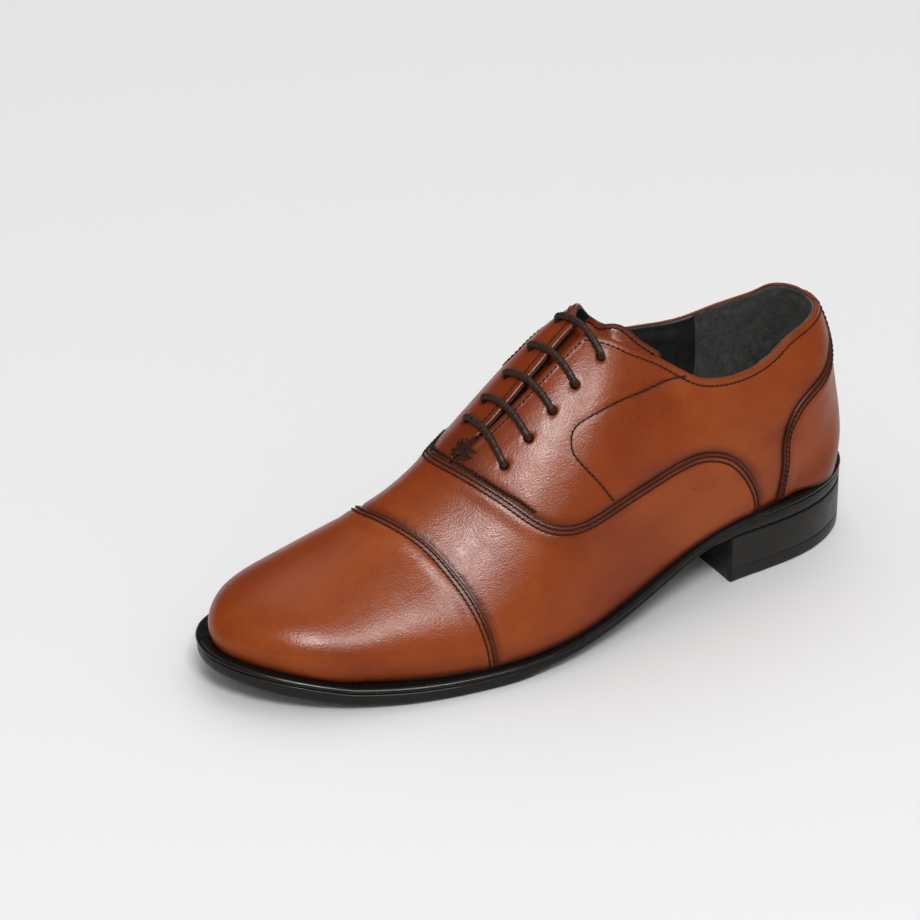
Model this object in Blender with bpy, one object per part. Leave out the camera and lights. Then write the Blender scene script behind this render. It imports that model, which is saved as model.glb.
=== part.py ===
"""Left shoe of a pair of cap-toe oxfords, toe towards -Y, outer side towards +X, sole on z = 0.

The upper is cut from flat patterns laid on one surface, the outside of the shoe as its last gives it.
A pattern point is (s, t): s counts the sections of the last from the toe (0) to the heel (17), and
t goes round a section from the outer feather edge (1) over the ridge (0) to the inner one (-1).
Lengths below are in millimetres and become metres in mesh_object. MIDDLE is the middle of the shoe's
box in these coordinates, and it becomes the origin.
"""

import bpy
import numpy as np
from mathutils import Vector
from mathutils.geometry import delaunay_2d_cdt

MM = 0.001

# Driving dimensions.
GAP = 0.3
LEATHER = 1.2
STIFFENING = 1.0
LINING = 1.0
LAP = 0.33
LAP_UNDER = 0.45
LAP_RISE = 0.5
HEEL_BREAST_Y = 77.0
TOP_PIECE = 5.7
SEAT_Z = 21.0
EYELET_BORE = 2.3
EYELET_RIM = 3.4
LACE_RADIUS = 1.4
TONGUE_TOP = -8.2
TONGUE_HEM = -4.5
TONGUE_LEATHER = 1.2
TONGUE_LINING = 0.8
NAIL_RADIUS = 0.9
T_SCALE = 5.0
SECTIONS = 17
MIDDLE = (1.72, 0.69, 0)

# Feather edge, where the upper meets the sole: y, outer x, inner x, z.
FEATHER = (
    (-112, 33, -37, 10.6),
    (-90, 42, -44.5, 9.0),
    (-60, 50.5, -48, 8.0),
    (-30, 53, -42.5, 8.4),
    (0, 49.5, -33, 11.2),
    (30, 42.5, -27, 17.5),
    (60, 36, -27, 24.5),
    (90, 32, -29.5, 28.3),
    (120, 27.5, -28, 29.3),
)

# Sections of the last: y of the feather ends, crown x, y, z, squareness, outer and inner fullness.
LAST = (
    (-111, -6, -146.5, 17.5, -0.048, -0.9, 0.6, 0),
    (-107, -6, -148, 25.8, -0.023, 0.2, 0.7, 0),
    (-102, -6, -141, 33.8, 0.007, 1.2, 1.1, 0),
    (-95, -6, -126.5, 40.2, 0.016, 2.1, 1.1, -0.02),
    (-86, -6, -106, 45.8, 0.005, 2.9, 0.9, -0.045),
    (-73, -5, -83, 54, -0.017, 2.7, 1, -0.055),
    (-55, -4, -56, 66.9, -0.051, 2.6, 1.7, 0.02),
    (-35, -3, -28, 86.5, -0.036, 2.7, 2, 0.09),
    (-13, -4, 1, 108.1, -0.007, 2.7, 3.5, 0.1),
    (9, -6, 29, 124.2, 0.003, 3.1, 4, 0.085),
    (31, -6, 57, 129.2, -0.011, 3.7, 4.6, 0.02),
    (51, -4, 86, 128.6, -0.002, 4.2, 5.3, 0),
    (69, -2, 113, 120.6, 0, 3.9, 4.3, 0),
    (85, 0, 135, 109.3, 0.017, 3.1, 3.3, 0),
    (98, 0, 143.5, 92.5, 0.026, 3, 2.5, 0),
    (107, 0, 148, 71, 0.009, 2.6, 1.7, 0),
    (113, 0, 150, 50.1, 0.012, 3.1, 1.1, 0),
    (117, 0, 147, 30, 0.011, 2.1, 0.4, 0),
)

# Outline of the sole in plan: y, outer x and y, inner x.
SOLE_OUTER = (
    (-151.5, -8), (-146.5, 9), (-138, 20.5), (-125, 31.5), (-105, 42.5), (-80, 51), (-55, 55.5),
    (-30, 57), (0, 53), (30, 46), (55, 39.5), (77, 35.5), (100, 34), (122, 30.5), (139, 22), (149.5, 11),
    (153, 0),
)
SOLE_INNER = (
    (-147.5, -23), (-138.5, -34.5), (-125, -43.5), (-105, -50.3), (-80, -53.5), (-55, -52.5), (-30, -46),
    (0, -36), (30, -30), (55, -29.5), (77, -31.5), (100, -33.5), (122, -31), (139, -22.5), (149.5, -11),
)

# Underside of the sole along the shoe: y, z.
SOLE_BOTTOM = (
    (-152, 10.4), (-111, 2.4), (-90, 0.8), (-70, 0.1), (-50, 0), (-30, 0.5), (-10, 2.6), (10, 6),
    (30, 11), (50, 16), (70, 20), (77, SEAT_Z), (154, SEAT_Z),
)
ROWS = (-152, -146, -140, -132, -122, -111, -100, -90, -80, -70, -60, -50, -40, -30, -20, -10, 0, 10,
        20, 30, 40, 50, 60, 70, 77, 84, 94, 104, 114, 124, 134, 144, 154)

# Seams on the pattern, (s, t). Those with no negative t are the outer half, and the inner half mirrors t.
CAP_SEAM = ((6.27, 1), (6.17, 0.8), (6.06, 0.631), (5.9, 0.474), (5.74, 0.324), (5.63, 0.239),
            (5.53, 0.143), (5.46, 0.037), (5.43, -0.06), (5.48, -0.2), (5.6, -0.33), (5.76, -0.47),
            (5.94, -0.64), (6.1, -0.8), (6.27, -1))
VAMP_SEAM = ((13.6, 1), (13.18, 0.942), (12.64, 0.878), (12.09, 0.812), (11.56, 0.763), (11.17, 0.741),
             (10.8, 0.725), (10.4, 0.715), (9.74, 0.702), (8.9, 0.675), (8.1, 0.627), (7.51, 0.519),
             (7.12, 0.369), (6.82, 0.221), (6.59, 0.058), (6.52, -0.07), (6.58, -0.22), (6.8, -0.36),
             (7.12, -0.45), (7.55, -0.55), (8.1, -0.63), (8.9, -0.68), (9.74, -0.702), (10.4, -0.715),
             (10.8, -0.725), (11.17, -0.741), (11.56, -0.763), (12.09, -0.812), (12.64, -0.878),
             (13.18, -0.942), (13.6, -1))
COUNTER_SEAM = ((13.38, 0.09), (13.7, 0.172), (13.88, 0.26), (13.88, 0.39), (13.68, 0.502),
                (13.25, 0.604), (12.97, 0.682), (12.99, 0.745), (13.21, 0.804), (13.62, 0.865),
                (13.96, 0.917), (14.3, 0.965), (14.55, 1))
TOPLINE = ((8.8, 0.045), (8.87, 0.075), (8.97, 0.11), (9.2, 0.185), (9.46, 0.267), (9.99, 0.384),
           (10.39, 0.464), (10.68, 0.507), (10.97, 0.527), (11.37, 0.529), (11.79, 0.507),
           (12.08, 0.473), (12.38, 0.411), (12.7, 0.351), (12.99, 0.276), (13.22, 0.18), (13.34, 0.08),
           (13.34, -0.02), (13.2, -0.11), (12.97, -0.19), (12.76, -0.27), (12.7, -0.325),
           (12.39, -0.402), (12.09, -0.445), (11.83, -0.482), (11.37, -0.515), (10.89, -0.513),
           (10.61, -0.501), (10.33, -0.477), (10.04, -0.444), (9.68, -0.39), (9.35, -0.3), (9.1, -0.21),
           (8.92, -0.13), (8.84, -0.08), (8.8, -0.045))
SLOT = ((6, 0.003), (6.95, 0.008), (7.6, 0.02), (8.8, 0.045))
LINING_SEAM = ((6.62, 0), (6.66, 0.15), (6.8, 0.35), (7.1, 0.6), (7.5, 1))
GRIP_SEAM = ((11.1, 0), (11.25, 0.2), (11.5, 0.35), (11.76, 0.45), (12.05, 0.55), (12.38, 0.65),
             (12.75, 0.78), (13, 1))
STIFFENER_EDGE = ((13.8, 0), (13.7, 0.2), (13.4, 0.36), (12.8, 0.5), (12.2, 0.64), (11.7, 0.8), (11.5, 1))
STAY = ((6.86, 0.085), (7.6, 0.085), (8.3, 0.085), (8.8, 0.085), (9.12, 0.19), (9.18, 0.25), (9, 0.31),
        (8.4, 0.32), (7.6, 0.33), (6.93, 0.33))
STAY_INNER = ((6.86, -0.085), (7.6, -0.085), (8.3, -0.085), (8.62, -0.085), (8.9, -0.165), (8.98, -0.24),
              (8.85, -0.3), (8.4, -0.32), (7.6, -0.33), (6.93, -0.33))
TONGUE = ((9.16, 0), (9.2, 0.05), (9.5, 0.16), (9.78, 0.28), (10, 0.345), (10.1, 0.385), (10.02, 0.42),
          (9.72, 0.43), (9.1, 0.41), (8.4, 0.38), (7.8, 0.33), (7.4, 0.24), (7.1, 0.15), (6.86, 0.12),
          (6.74, 0.07), (6.72, 0), (6.74, -0.07), (6.86, -0.12), (7.1, -0.15), (7.4, -0.24),
          (7.8, -0.31), (8.4, -0.34), (8.85, -0.34), (9.05, -0.31), (9.13, -0.25), (9.15, -0.17),
          (9.15, -0.08), (9.16, 0))
EYELETS_OUTER = ((7.14, 0.212), (7.56, 0.204), (7.98, 0.202), (8.41, 0.203), (8.93, 0.206))
EYELETS_INNER = ((7.1, -0.185), (7.4, -0.19), (7.77, -0.188), (8.21, -0.187), (8.72, -0.19))
NAILS = ((0, 137), (-19, 122), (19, 122), (-20, 96), (20, 96))

# Lace, from one tucked end to the other: (s, t, height over the leather).
BAR = LACE_RADIUS + 0.35
UNDER = -6.3


def spline(knots, values, at):
    """Natural cubic through the values, one column at a time."""
    knots = np.asarray(knots, float)
    values = np.asarray(values, float)
    steps = np.diff(knots)
    count = len(knots)
    matrix = np.eye(count)
    right = np.zeros(values.shape)
    for i in range(1, count - 1):
        matrix[i, i - 1] = steps[i - 1]
        matrix[i, i] = 2 * (steps[i - 1] + steps[i])
        matrix[i, i + 1] = steps[i]
        right[i] = 6 * ((values[i + 1] - values[i]) / steps[i] - (values[i] - values[i - 1]) / steps[i - 1])
    bend = np.linalg.solve(matrix, right)
    at = np.asarray(at, float)
    cell = np.clip(np.searchsorted(knots, at) - 1, 0, count - 2)
    past = at - knots[cell]
    wide = steps[cell]
    if values.ndim > 1:
        past = past[..., None]
        wide = wide[..., None]
    left = wide - past
    a, b, p, q = values[cell], values[cell + 1], bend[cell], bend[cell + 1]
    curved = (p * left**3 + q * past**3) / (6 * wide)
    return curved + (a / wide - p * wide / 6) * left + (b / wide - q * wide / 6) * past


def last_point(s, t):
    """Point on the outside of the upper."""
    s, t = np.broadcast_arrays(np.asarray(s, float), np.asarray(t, float))
    last = np.asarray(LAST, float)
    feather = np.asarray(FEATHER, float)
    row = spline(np.arange(len(last)), last, s)
    edge = spline(feather[:, 0], feather[:, 1:], row[..., 0])
    outer = np.stack([edge[..., 0], row[..., 0], edge[..., 2]], -1)
    inner = np.stack([edge[..., 1], row[..., 0], edge[..., 2]], -1)
    middle = (outer + inner) / 2
    angle = (1 - t - row[..., 7] * (1 - t * t)) * np.pi / 2
    cos, sin = np.cos(angle), np.sin(angle)
    square = row[..., 4]
    across = (cos - square * np.cos(3 * angle)) / (1 - square)
    rise = (sin + square * np.sin(3 * angle)) / (1 - square)
    full = 3.08 * sin * cos**3 * (row[..., 5] * (1 + cos) / 2 + row[..., 6] * (1 - cos) / 2)
    point = middle + across[..., None] * (outer - inner) / 2 + rise[..., None] * (row[..., 1:4] - middle)
    point[..., 0] += full
    return point


def last_normal(s, t):
    """Outward normal of that surface, read a little inside its corners, where the sections meet."""
    s = np.clip(np.asarray(s, float), 0.15, SECTIONS - 0.15)
    corner = np.interp(s, (0, 2, SECTIONS - 2.5, SECTIONS), (0.86, 0.97, 0.97, 0.86))
    t = np.clip(np.asarray(t, float), -corner, corner)
    along = last_point(s + 0.01, t) - last_point(s - 0.01, t)
    round_it = last_point(s, t + 0.004) - last_point(s, t - 0.004)
    normal = np.cross(round_it, along)
    return normal / np.linalg.norm(normal, axis=-1, keepdims=True)


def on_last(s, t, height):
    return last_point(s, t) + last_normal(s, t) * np.asarray(height, float)[..., None]


def smooth(points, step=0.28):
    """Evenly spaced points on a curve through the given ones, in pattern space with t scaled."""
    points = np.asarray(points, float) * (1, T_SCALE)
    length = np.r_[0, np.cumsum(np.linalg.norm(np.diff(points, axis=0), axis=1))]
    count = max(2, int(round(length[-1] / step)) + 1)
    return spline(length, points, np.linspace(0, length[-1], count))


def both_sides(half):
    """A curve given for the outer side, from the ridge, continued on the inner side."""
    half = np.asarray(half, float)
    mirrored = half * (1, -1)
    if abs(half[0, 1]) < 1e-6:
        mirrored = mirrored[1:]
    return np.r_[half[::-1], mirrored]


def shifted(line, distance):
    """The same line moved to its left."""
    ahead = np.gradient(line, axis=0)
    normal = np.stack([-ahead[:, 1], ahead[:, 0]], -1)
    return line + distance * normal / np.linalg.norm(normal, axis=1, keepdims=True)


def inside(points, polygon):
    points = np.atleast_2d(points)
    x, y = points[:, 0], points[:, 1]
    found = np.zeros(len(points), bool)
    for (ax, ay), (bx, by) in zip(polygon, np.roll(polygon, -1, axis=0)):
        if ay == by:
            continue
        crosses = (ay > y) != (by > y)
        found ^= crosses & (x < (bx - ax) * (y - ay) / (by - ay) + ax)
    return found


def near(points, line, distance=2e-4):
    """Which points lie on the line."""
    points = np.atleast_2d(points)
    found = np.zeros(len(points), bool)
    for a, b in zip(line[:-1], line[1:]):
        ahead = b - a
        along = np.clip((points - a) @ ahead / max(ahead @ ahead, 1e-12), 0, 1)
        found |= np.linalg.norm(points - a - along[:, None] * ahead, axis=1) < distance
    return found


def clear_of(points, lines, distance):
    """The points that keep a distance from all the lines."""
    keep = np.ones(len(points), bool)
    for line in lines:
        keep &= ~near(points, line, distance)
    return points[keep]


def triangulate(points, lines):
    """Triangles through the loose points with every line kept as edges."""
    found = [Vector(p) for p in points]
    edges = []
    for line in lines:
        first = len(found)
        found.extend(Vector(p) for p in line)
        edges.extend((first + i, first + i + 1) for i in range(len(line) - 1))
    flat, _, faces, _, _, _ = delaunay_2d_cdt(found, edges, [], 0, 1e-5)
    flat = np.array([tuple(p) for p in flat])
    faces = np.array([tuple(f) for f in faces if len(f) == 3])
    a, b, c = (flat[faces[:, i]] for i in range(3))
    area = (b[:, 0] - a[:, 0]) * (c[:, 1] - a[:, 1]) - (b[:, 1] - a[:, 1]) * (c[:, 0] - a[:, 0])
    faces[area < 0] = faces[area < 0][:, ::-1]
    return flat, faces[np.abs(area) > 1e-9]


def mesh_object(name, points, faces, material, smooth_shade=True):
    mesh = bpy.data.meshes.new(name)
    placed = (np.asarray(points) - MIDDLE) * MM
    mesh.from_pydata([tuple(p) for p in placed], [], [tuple(int(i) for i in f) for f in faces])
    mesh.materials.append(material)
    mesh.polygons.foreach_set("use_smooth", [smooth_shade] * len(mesh.polygons))
    obj = bpy.data.objects.new(name, mesh)
    SHOE.objects.link(obj)
    return obj


def slab(name, faces, low, high, material, up=False):
    """A closed solid between two copies of the same triangles."""
    used, index = np.unique(faces, return_inverse=True)
    faces = index.reshape(-1, 3)
    count = len(used)
    directed = np.concatenate([faces[:, [0, 1]], faces[:, [1, 2]], faces[:, [2, 0]]])
    known = {(int(a), int(b)) for a, b in directed}
    rim = [(a, b) for a, b in known if (b, a) not in known]
    bottom = faces if not up else faces[:, ::-1]
    top = faces[:, ::-1] if not up else faces
    solid = [tuple(f) for f in bottom] + [tuple(f + count) for f in top]
    for a, b in rim:
        if up:
            solid.append((a, b, b + count, a + count))
        else:
            solid.append((b, a, a + count, b + count))
    return mesh_object(name, np.r_[low[used], high[used]], solid, material)


def seams():
    """Every line of the pattern, t scaled."""
    lines = {}
    cap = smooth(CAP_SEAM)
    vamp = smooth(VAMP_SEAM)
    lines["cap"] = cap
    lines["cap_lap"] = cap - (LAP, 0)
    lines["vamp"] = vamp
    lines["vamp_lap"] = shifted(vamp, -LAP)
    lines["vamp_lap"][0] = (lines["vamp_lap"][0][0], T_SCALE)
    lines["vamp_lap"][-1] = (lines["vamp_lap"][-1][0], -T_SCALE)
    for side, name in ((1, "outer"), (-1, "inner")):
        counter = smooth(COUNTER_SEAM) * (1, side)
        lap = shifted(counter, side * LAP)
        lap[-1] = (lap[-1][0], side * T_SCALE)
        lines["counter_" + name] = counter
        lines["counter_lap_" + name] = lap
    top = smooth(TOPLINE)
    slot = smooth(SLOT)
    lines["opening"] = np.r_[top, (slot * (1, -1))[::-1][1:], slot, top[:1]]
    for name, line in (("lining", LINING_SEAM), ("grip", GRIP_SEAM)):
        whole = smooth(both_sides(line))
        lines[name + "_front"] = whole - (0.008, 0)
        lines[name + "_back"] = whole + (0.008, 0)
    lines["stiffener"] = smooth(both_sides(STIFFENER_EDGE))
    for stay, name in ((STAY, "outer"), (STAY_INNER, "inner")):
        stay = np.asarray(stay, float) * (1, T_SCALE)
        lines["stay_" + name] = np.r_[stay, stay[:1]]
    return {name: np.clip(line, (0, -T_SCALE), (SECTIONS, T_SCALE)) for name, line in lines.items()}


def circle_on_last(s, t, radius, count=8):
    """A circle of that radius, in mm on the surface, round a point of the pattern."""
    along = (last_point(s + 0.02, t) - last_point(s - 0.02, t)) / 0.04
    round_it = (last_point(s, t + 0.01) - last_point(s, t - 0.01)) / 0.02
    first = along / np.linalg.norm(along)
    second = np.cross(last_normal(s, t), first)
    turn = 2 * np.pi * (np.arange(count + 1) % count) / count
    ring = radius * (np.outer(np.cos(turn), first) + np.outer(np.sin(turn), second))
    back = np.linalg.pinv(np.stack([along, round_it], -1))
    return (np.array((s, t)) + ring @ back.T) * (1, T_SCALE)


def closed(line, *more):
    return np.r_[line, np.array(more, float).reshape(-1, 2)]


class Pattern:
    """The triangulated pattern with its regions."""

    def __init__(self):
        self.lines = seams()
        holes = EYELETS_OUTER + EYELETS_INNER
        self.bores = [circle_on_last(s, t, EYELET_BORE) for s, t in holes]
        self.rims = [circle_on_last(s, t, EYELET_RIM) for s, t in holes]
        self.seats = [circle_on_last(s, t, EYELET_RIM + GAP) for s, t in holes]
        border = np.array([(0, -1), (SECTIONS, -1), (SECTIONS, 1), (0, 1), (0, -1)], float) * (1, T_SCALE)
        every = list(self.lines.values()) + self.bores + self.rims + self.seats
        s, t = np.meshgrid(np.linspace(0, SECTIONS, 31), np.linspace(-T_SCALE, T_SCALE, 21), indexing="ij")
        grid = np.stack([s.ravel(), t.ravel()], -1)
        grid = clear_of(grid, every, 0.13)
        self.flat, self.faces = triangulate(grid, every + [border])
        self.mid = self.flat[self.faces].mean(axis=1)
        self.s = self.flat[:, 0]
        self.t = self.flat[:, 1] / T_SCALE

    def lies_in(self, polygon):
        return inside(self.mid, polygon)

    def band(self, seam, lap):
        """Vertices in the strip from a seam to its lap line, both included."""
        strip = np.r_[seam, lap[::-1]]
        return inside(self.flat, strip) | near(self.flat, seam) | near(self.flat, lap)

    def solid(self, name, keep, low, high, material):
        faces = self.faces[keep]
        return slab(name, faces, on_last(self.s, self.t, low), on_last(self.s, self.t, high), material)


def upper(pattern, leather, dark, lining_leather, suede, board, metal):
    lines = pattern.lines
    heel = SECTIONS
    edge = T_SCALE
    front = -1
    ahead_of = {}
    for name in ("cap", "cap_lap", "lining_front", "lining_back", "grip_front", "grip_back"):
        ahead_of[name] = pattern.lies_in(closed(lines[name], (front, -edge), (front, edge)))
    behind_vamp = pattern.lies_in(closed(lines["vamp"], (heel + 1, -edge), (heel + 1, edge)))
    behind_vamp_lap = pattern.lies_in(closed(lines["vamp_lap"], (heel + 1, -edge), (heel + 1, edge)))
    both_counter = {}
    for key in ("counter_", "counter_lap_"):
        inner = lines[key + "inner"]
        outer = lines[key + "outer"]
        both_counter[key] = pattern.lies_in(np.r_[inner, [(heel + 1, -edge), (heel + 1, edge)], outer[::-1]])
    opening = pattern.lies_in(lines["opening"])
    bores = np.zeros(len(pattern.mid), bool)
    for bore in pattern.bores:
        bores |= pattern.lies_in(bore)
    outer_side = pattern.mid[:, 1] > 0

    thick = np.full(len(pattern.flat), -LEATHER)
    face = np.zeros(len(pattern.flat))
    bands = {
        "cap": pattern.band(lines["cap"], lines["cap_lap"]),
        "vamp": pattern.band(lines["vamp"], lines["vamp_lap"]),
        "counter": pattern.band(lines["counter_outer"], lines["counter_lap_outer"])
        | pattern.band(lines["counter_inner"], lines["counter_lap_inner"]),
    }

    def laid(over, under):
        """Lower and upper heights of a piece that laps over some seams and under others."""
        low, high = thick.copy(), face.copy()
        for name in over:
            low[bands[name]] = -LEATHER + LAP_UNDER + GAP
            high[bands[name]] = LAP_RISE
        for name in under:
            high[bands[name]] = -LEATHER + LAP_UNDER
        return low, high

    pattern.solid("toe_cap", ahead_of["cap"], *laid(["cap"], []), leather)
    pattern.solid("vamp", ~ahead_of["cap_lap"] & ~behind_vamp, *laid(["vamp"], ["cap"]), leather)
    quarters = behind_vamp_lap & ~both_counter["counter_lap_"] & ~opening & ~bores
    pattern.solid("quarter_lateral", quarters & outer_side, *laid([], ["vamp", "counter"]), leather)
    pattern.solid("quarter_medial", quarters & ~outer_side, *laid([], ["vamp", "counter"]), leather)
    pattern.solid("heel_counter_cover", both_counter["counter_"] & ~opening, *laid(["counter"], []), leather)

    stiff_top = -LEATHER - GAP
    stiff_low = stiff_top - STIFFENING
    flat = np.full(len(pattern.flat), 1.0)
    puff = ahead_of["cap_lap"]
    rear = (heel + 1, -edge - 1), (heel + 1, edge + 1)
    stiffener = pattern.lies_in(closed(lines["stiffener"], *rear)) & ~opening
    pattern.solid("toe_puff", puff, flat * stiff_low, flat * stiff_top, board)
    pattern.solid("heel_stiffener", stiffener, flat * stiff_low, flat * stiff_top, board)
    seats = np.zeros(len(pattern.mid), bool)
    for seat in pattern.seats:
        seats |= pattern.lies_in(seat)
    for side, name in (("outer", "lateral"), ("inner", "medial")):
        stay = pattern.lies_in(lines["stay_" + side]) & ~seats
        pattern.solid("facing_stay_" + name, stay, flat * stiff_low, flat * stiff_top, dark)
    for number, (bore, rim) in enumerate(zip(pattern.bores, pattern.rims)):
        name = "eyelet_%s_%d" % ("lateral" if number < 5 else "medial", number % 5 + 1)
        ring = pattern.lies_in(rim) & ~pattern.lies_in(bore)
        pattern.solid(name, ring, flat * stiff_low, flat * stiff_top, metal)

    stiffened = near(pattern.flat, lines["cap_lap"]) | near(pattern.flat, lines["stiffener"])
    stiffened |= inside(pattern.flat, closed(lines["cap_lap"], (front, -edge - 1), (front, edge + 1)))
    stiffened |= inside(pattern.flat, closed(lines["stiffener"], *rear))
    for name in ("stay_outer", "stay_inner"):
        stiffened |= inside(pattern.flat, lines[name]) | near(pattern.flat, lines[name])
    low = flat * (stiff_low - GAP - LINING)
    high = np.where(stiffened, stiff_low - GAP, stiff_top)
    between = ~ahead_of["lining_back"] & ahead_of["grip_front"] & ~opening & ~bores
    pattern.solid("vamp_lining", ahead_of["lining_front"] & ~opening, low, high, lining_leather)
    pattern.solid("quarter_lining_lateral", between & outer_side, low, high, lining_leather)
    pattern.solid("quarter_lining_medial", between & ~outer_side, low, high, lining_leather)
    pattern.solid("heel_grip_lining", ~ahead_of["grip_back"] & ~opening, low, high, suede)


def tongue(leather, lining_leather):
    outline = smooth(TONGUE, 0.25)[:-1]
    s, t = np.meshgrid(np.linspace(6.8, 10, 17), np.linspace(-2, 2, 9), indexing="ij")
    grid = clear_of(np.stack([s.ravel(), t.ravel()], -1), [outline], 0.1)
    flat, faces = triangulate(grid, [np.r_[outline, outline[:1]]])
    faces = faces[inside(flat[faces].mean(axis=1), outline)]
    s, t = flat[:, 0], flat[:, 1] / T_SCALE
    sewn = -(LEATHER + STIFFENING + LINING + 4 * GAP)
    top = np.interp(s, (6.8, 7.15, 9.05, 9.4), (sewn, TONGUE_TOP, TONGUE_TOP, TONGUE_HEM))
    made = []
    for name, first, last, material in (
        ("tongue", 0, TONGUE_LEATHER, leather),
        ("tongue_lining", TONGUE_LEATHER + GAP, TONGUE_LEATHER + GAP + TONGUE_LINING, lining_leather),
    ):
        low = on_last(s, t, top - last)
        high = on_last(s, t, top - first)
        made.append(slab(name, faces, low, high, material))
    hinge = bpy.data.objects.new("tongue_hinge", None)
    SHOE.objects.link(hinge)
    hinge.location = (on_last(6.8, 0.0, np.float64(sewn - 1.2)) - MIDDLE) * MM
    bpy.context.view_layer.update()
    for obj in made:
        obj.parent = hinge
        obj.matrix_parent_inverse = hinge.matrix_world.inverted()
    return hinge


def sole_outline(step=8.0):
    points = np.array([(x, y) for y, x in SOLE_OUTER] + [(x, y) for y, x in SOLE_INNER[::-1]], float)
    ring = np.r_[points[-3:], points, points[:3]]
    length = np.r_[0, np.cumsum(np.linalg.norm(np.diff(ring, axis=0), axis=1))]
    first, last = length[3], length[3 + len(points)]
    count = int((last - first) / step)
    return spline(length, ring, np.linspace(first, last, count + 1)[:-1])


def feather_outline():
    outer = last_point(np.linspace(0, SECTIONS, 35), 1.0)
    inner = last_point(np.linspace(0, SECTIONS, 35), -1.0)
    toe = last_point(0.0, np.linspace(0.85, -0.85, 15))
    heel = last_point(float(SECTIONS), np.linspace(-0.85, 0.85, 11))
    ring = np.r_[outer[::-1], toe, inner, heel][:, :2]
    length = np.r_[0, np.cumsum(np.linalg.norm(np.diff(ring, axis=0), axis=1))]
    even = np.linspace(0, length[-1], 84)
    return np.stack([np.interp(even, length, ring[:, i]) for i in range(2)], -1)


def inset(ring, distance):
    """A closed outline moved inwards."""
    area = np.sum(ring[:, 0] * np.roll(ring[:, 1], -1) - ring[:, 1] * np.roll(ring[:, 0], -1))
    ahead = np.roll(ring, -1, axis=0) - np.roll(ring, 1, axis=0)
    normal = np.stack([-ahead[:, 1], ahead[:, 0]], -1) * np.sign(area)
    return ring + distance * normal / np.linalg.norm(normal, axis=1, keepdims=True)


def by_row(y, knots, values):
    """A height along the shoe, straight between the rows that all the sole's layers share."""
    return np.interp(y, ROWS, spline(knots, values, np.asarray(ROWS, float)))


def bottom_height(y):
    return np.interp(y, ROWS, np.interp(ROWS, *np.array(SOLE_BOTTOM, float).T))


def feather_height(y):
    rows = np.asarray(ROWS, float)
    feather = np.asarray(FEATHER, float)
    heights = spline(feather[:, 0], feather[:, 3], np.clip(rows, -111, 117))
    toe = 6.9 / 35.0
    heights = heights + np.where(rows < -111, (-111 - rows) * toe, 0)
    return np.interp(y, rows, heights)


def ring_of(points):
    return np.r_[points, points[:1]]


def circle(x, y, radius, count=8):
    turn = 2 * np.pi * (np.arange(count + 1) % count) / count
    return np.stack([x + radius * np.cos(turn), y + radius * np.sin(turn)], -1)


def plate(name, outline, holes, low, high, material, keep=None, lines=(), pinch=None):
    """A layer of the sole, cut to an outline in plan with holes through it."""
    rows = [np.array([(-75, y), (75, y)], float) for y in ROWS[1:-1]]
    every = [ring_of(outline)] + list(holes) + rows + list(lines)
    flat, faces = triangulate(np.zeros((0, 2)), every)
    mid = flat[faces].mean(axis=1)
    wanted = inside(mid, outline)
    for hole in holes:
        wanted &= ~inside(mid, hole)
    if keep is not None:
        wanted &= keep(mid)
    bottom = np.c_[flat, low(flat[:, 1])]
    top = np.c_[flat, high(flat[:, 1])]
    if pinch is not None:
        bottom[:, 0] *= pinch(flat[:, 1])
    return slab(name, faces[wanted], bottom, top, material, up=True)


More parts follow.
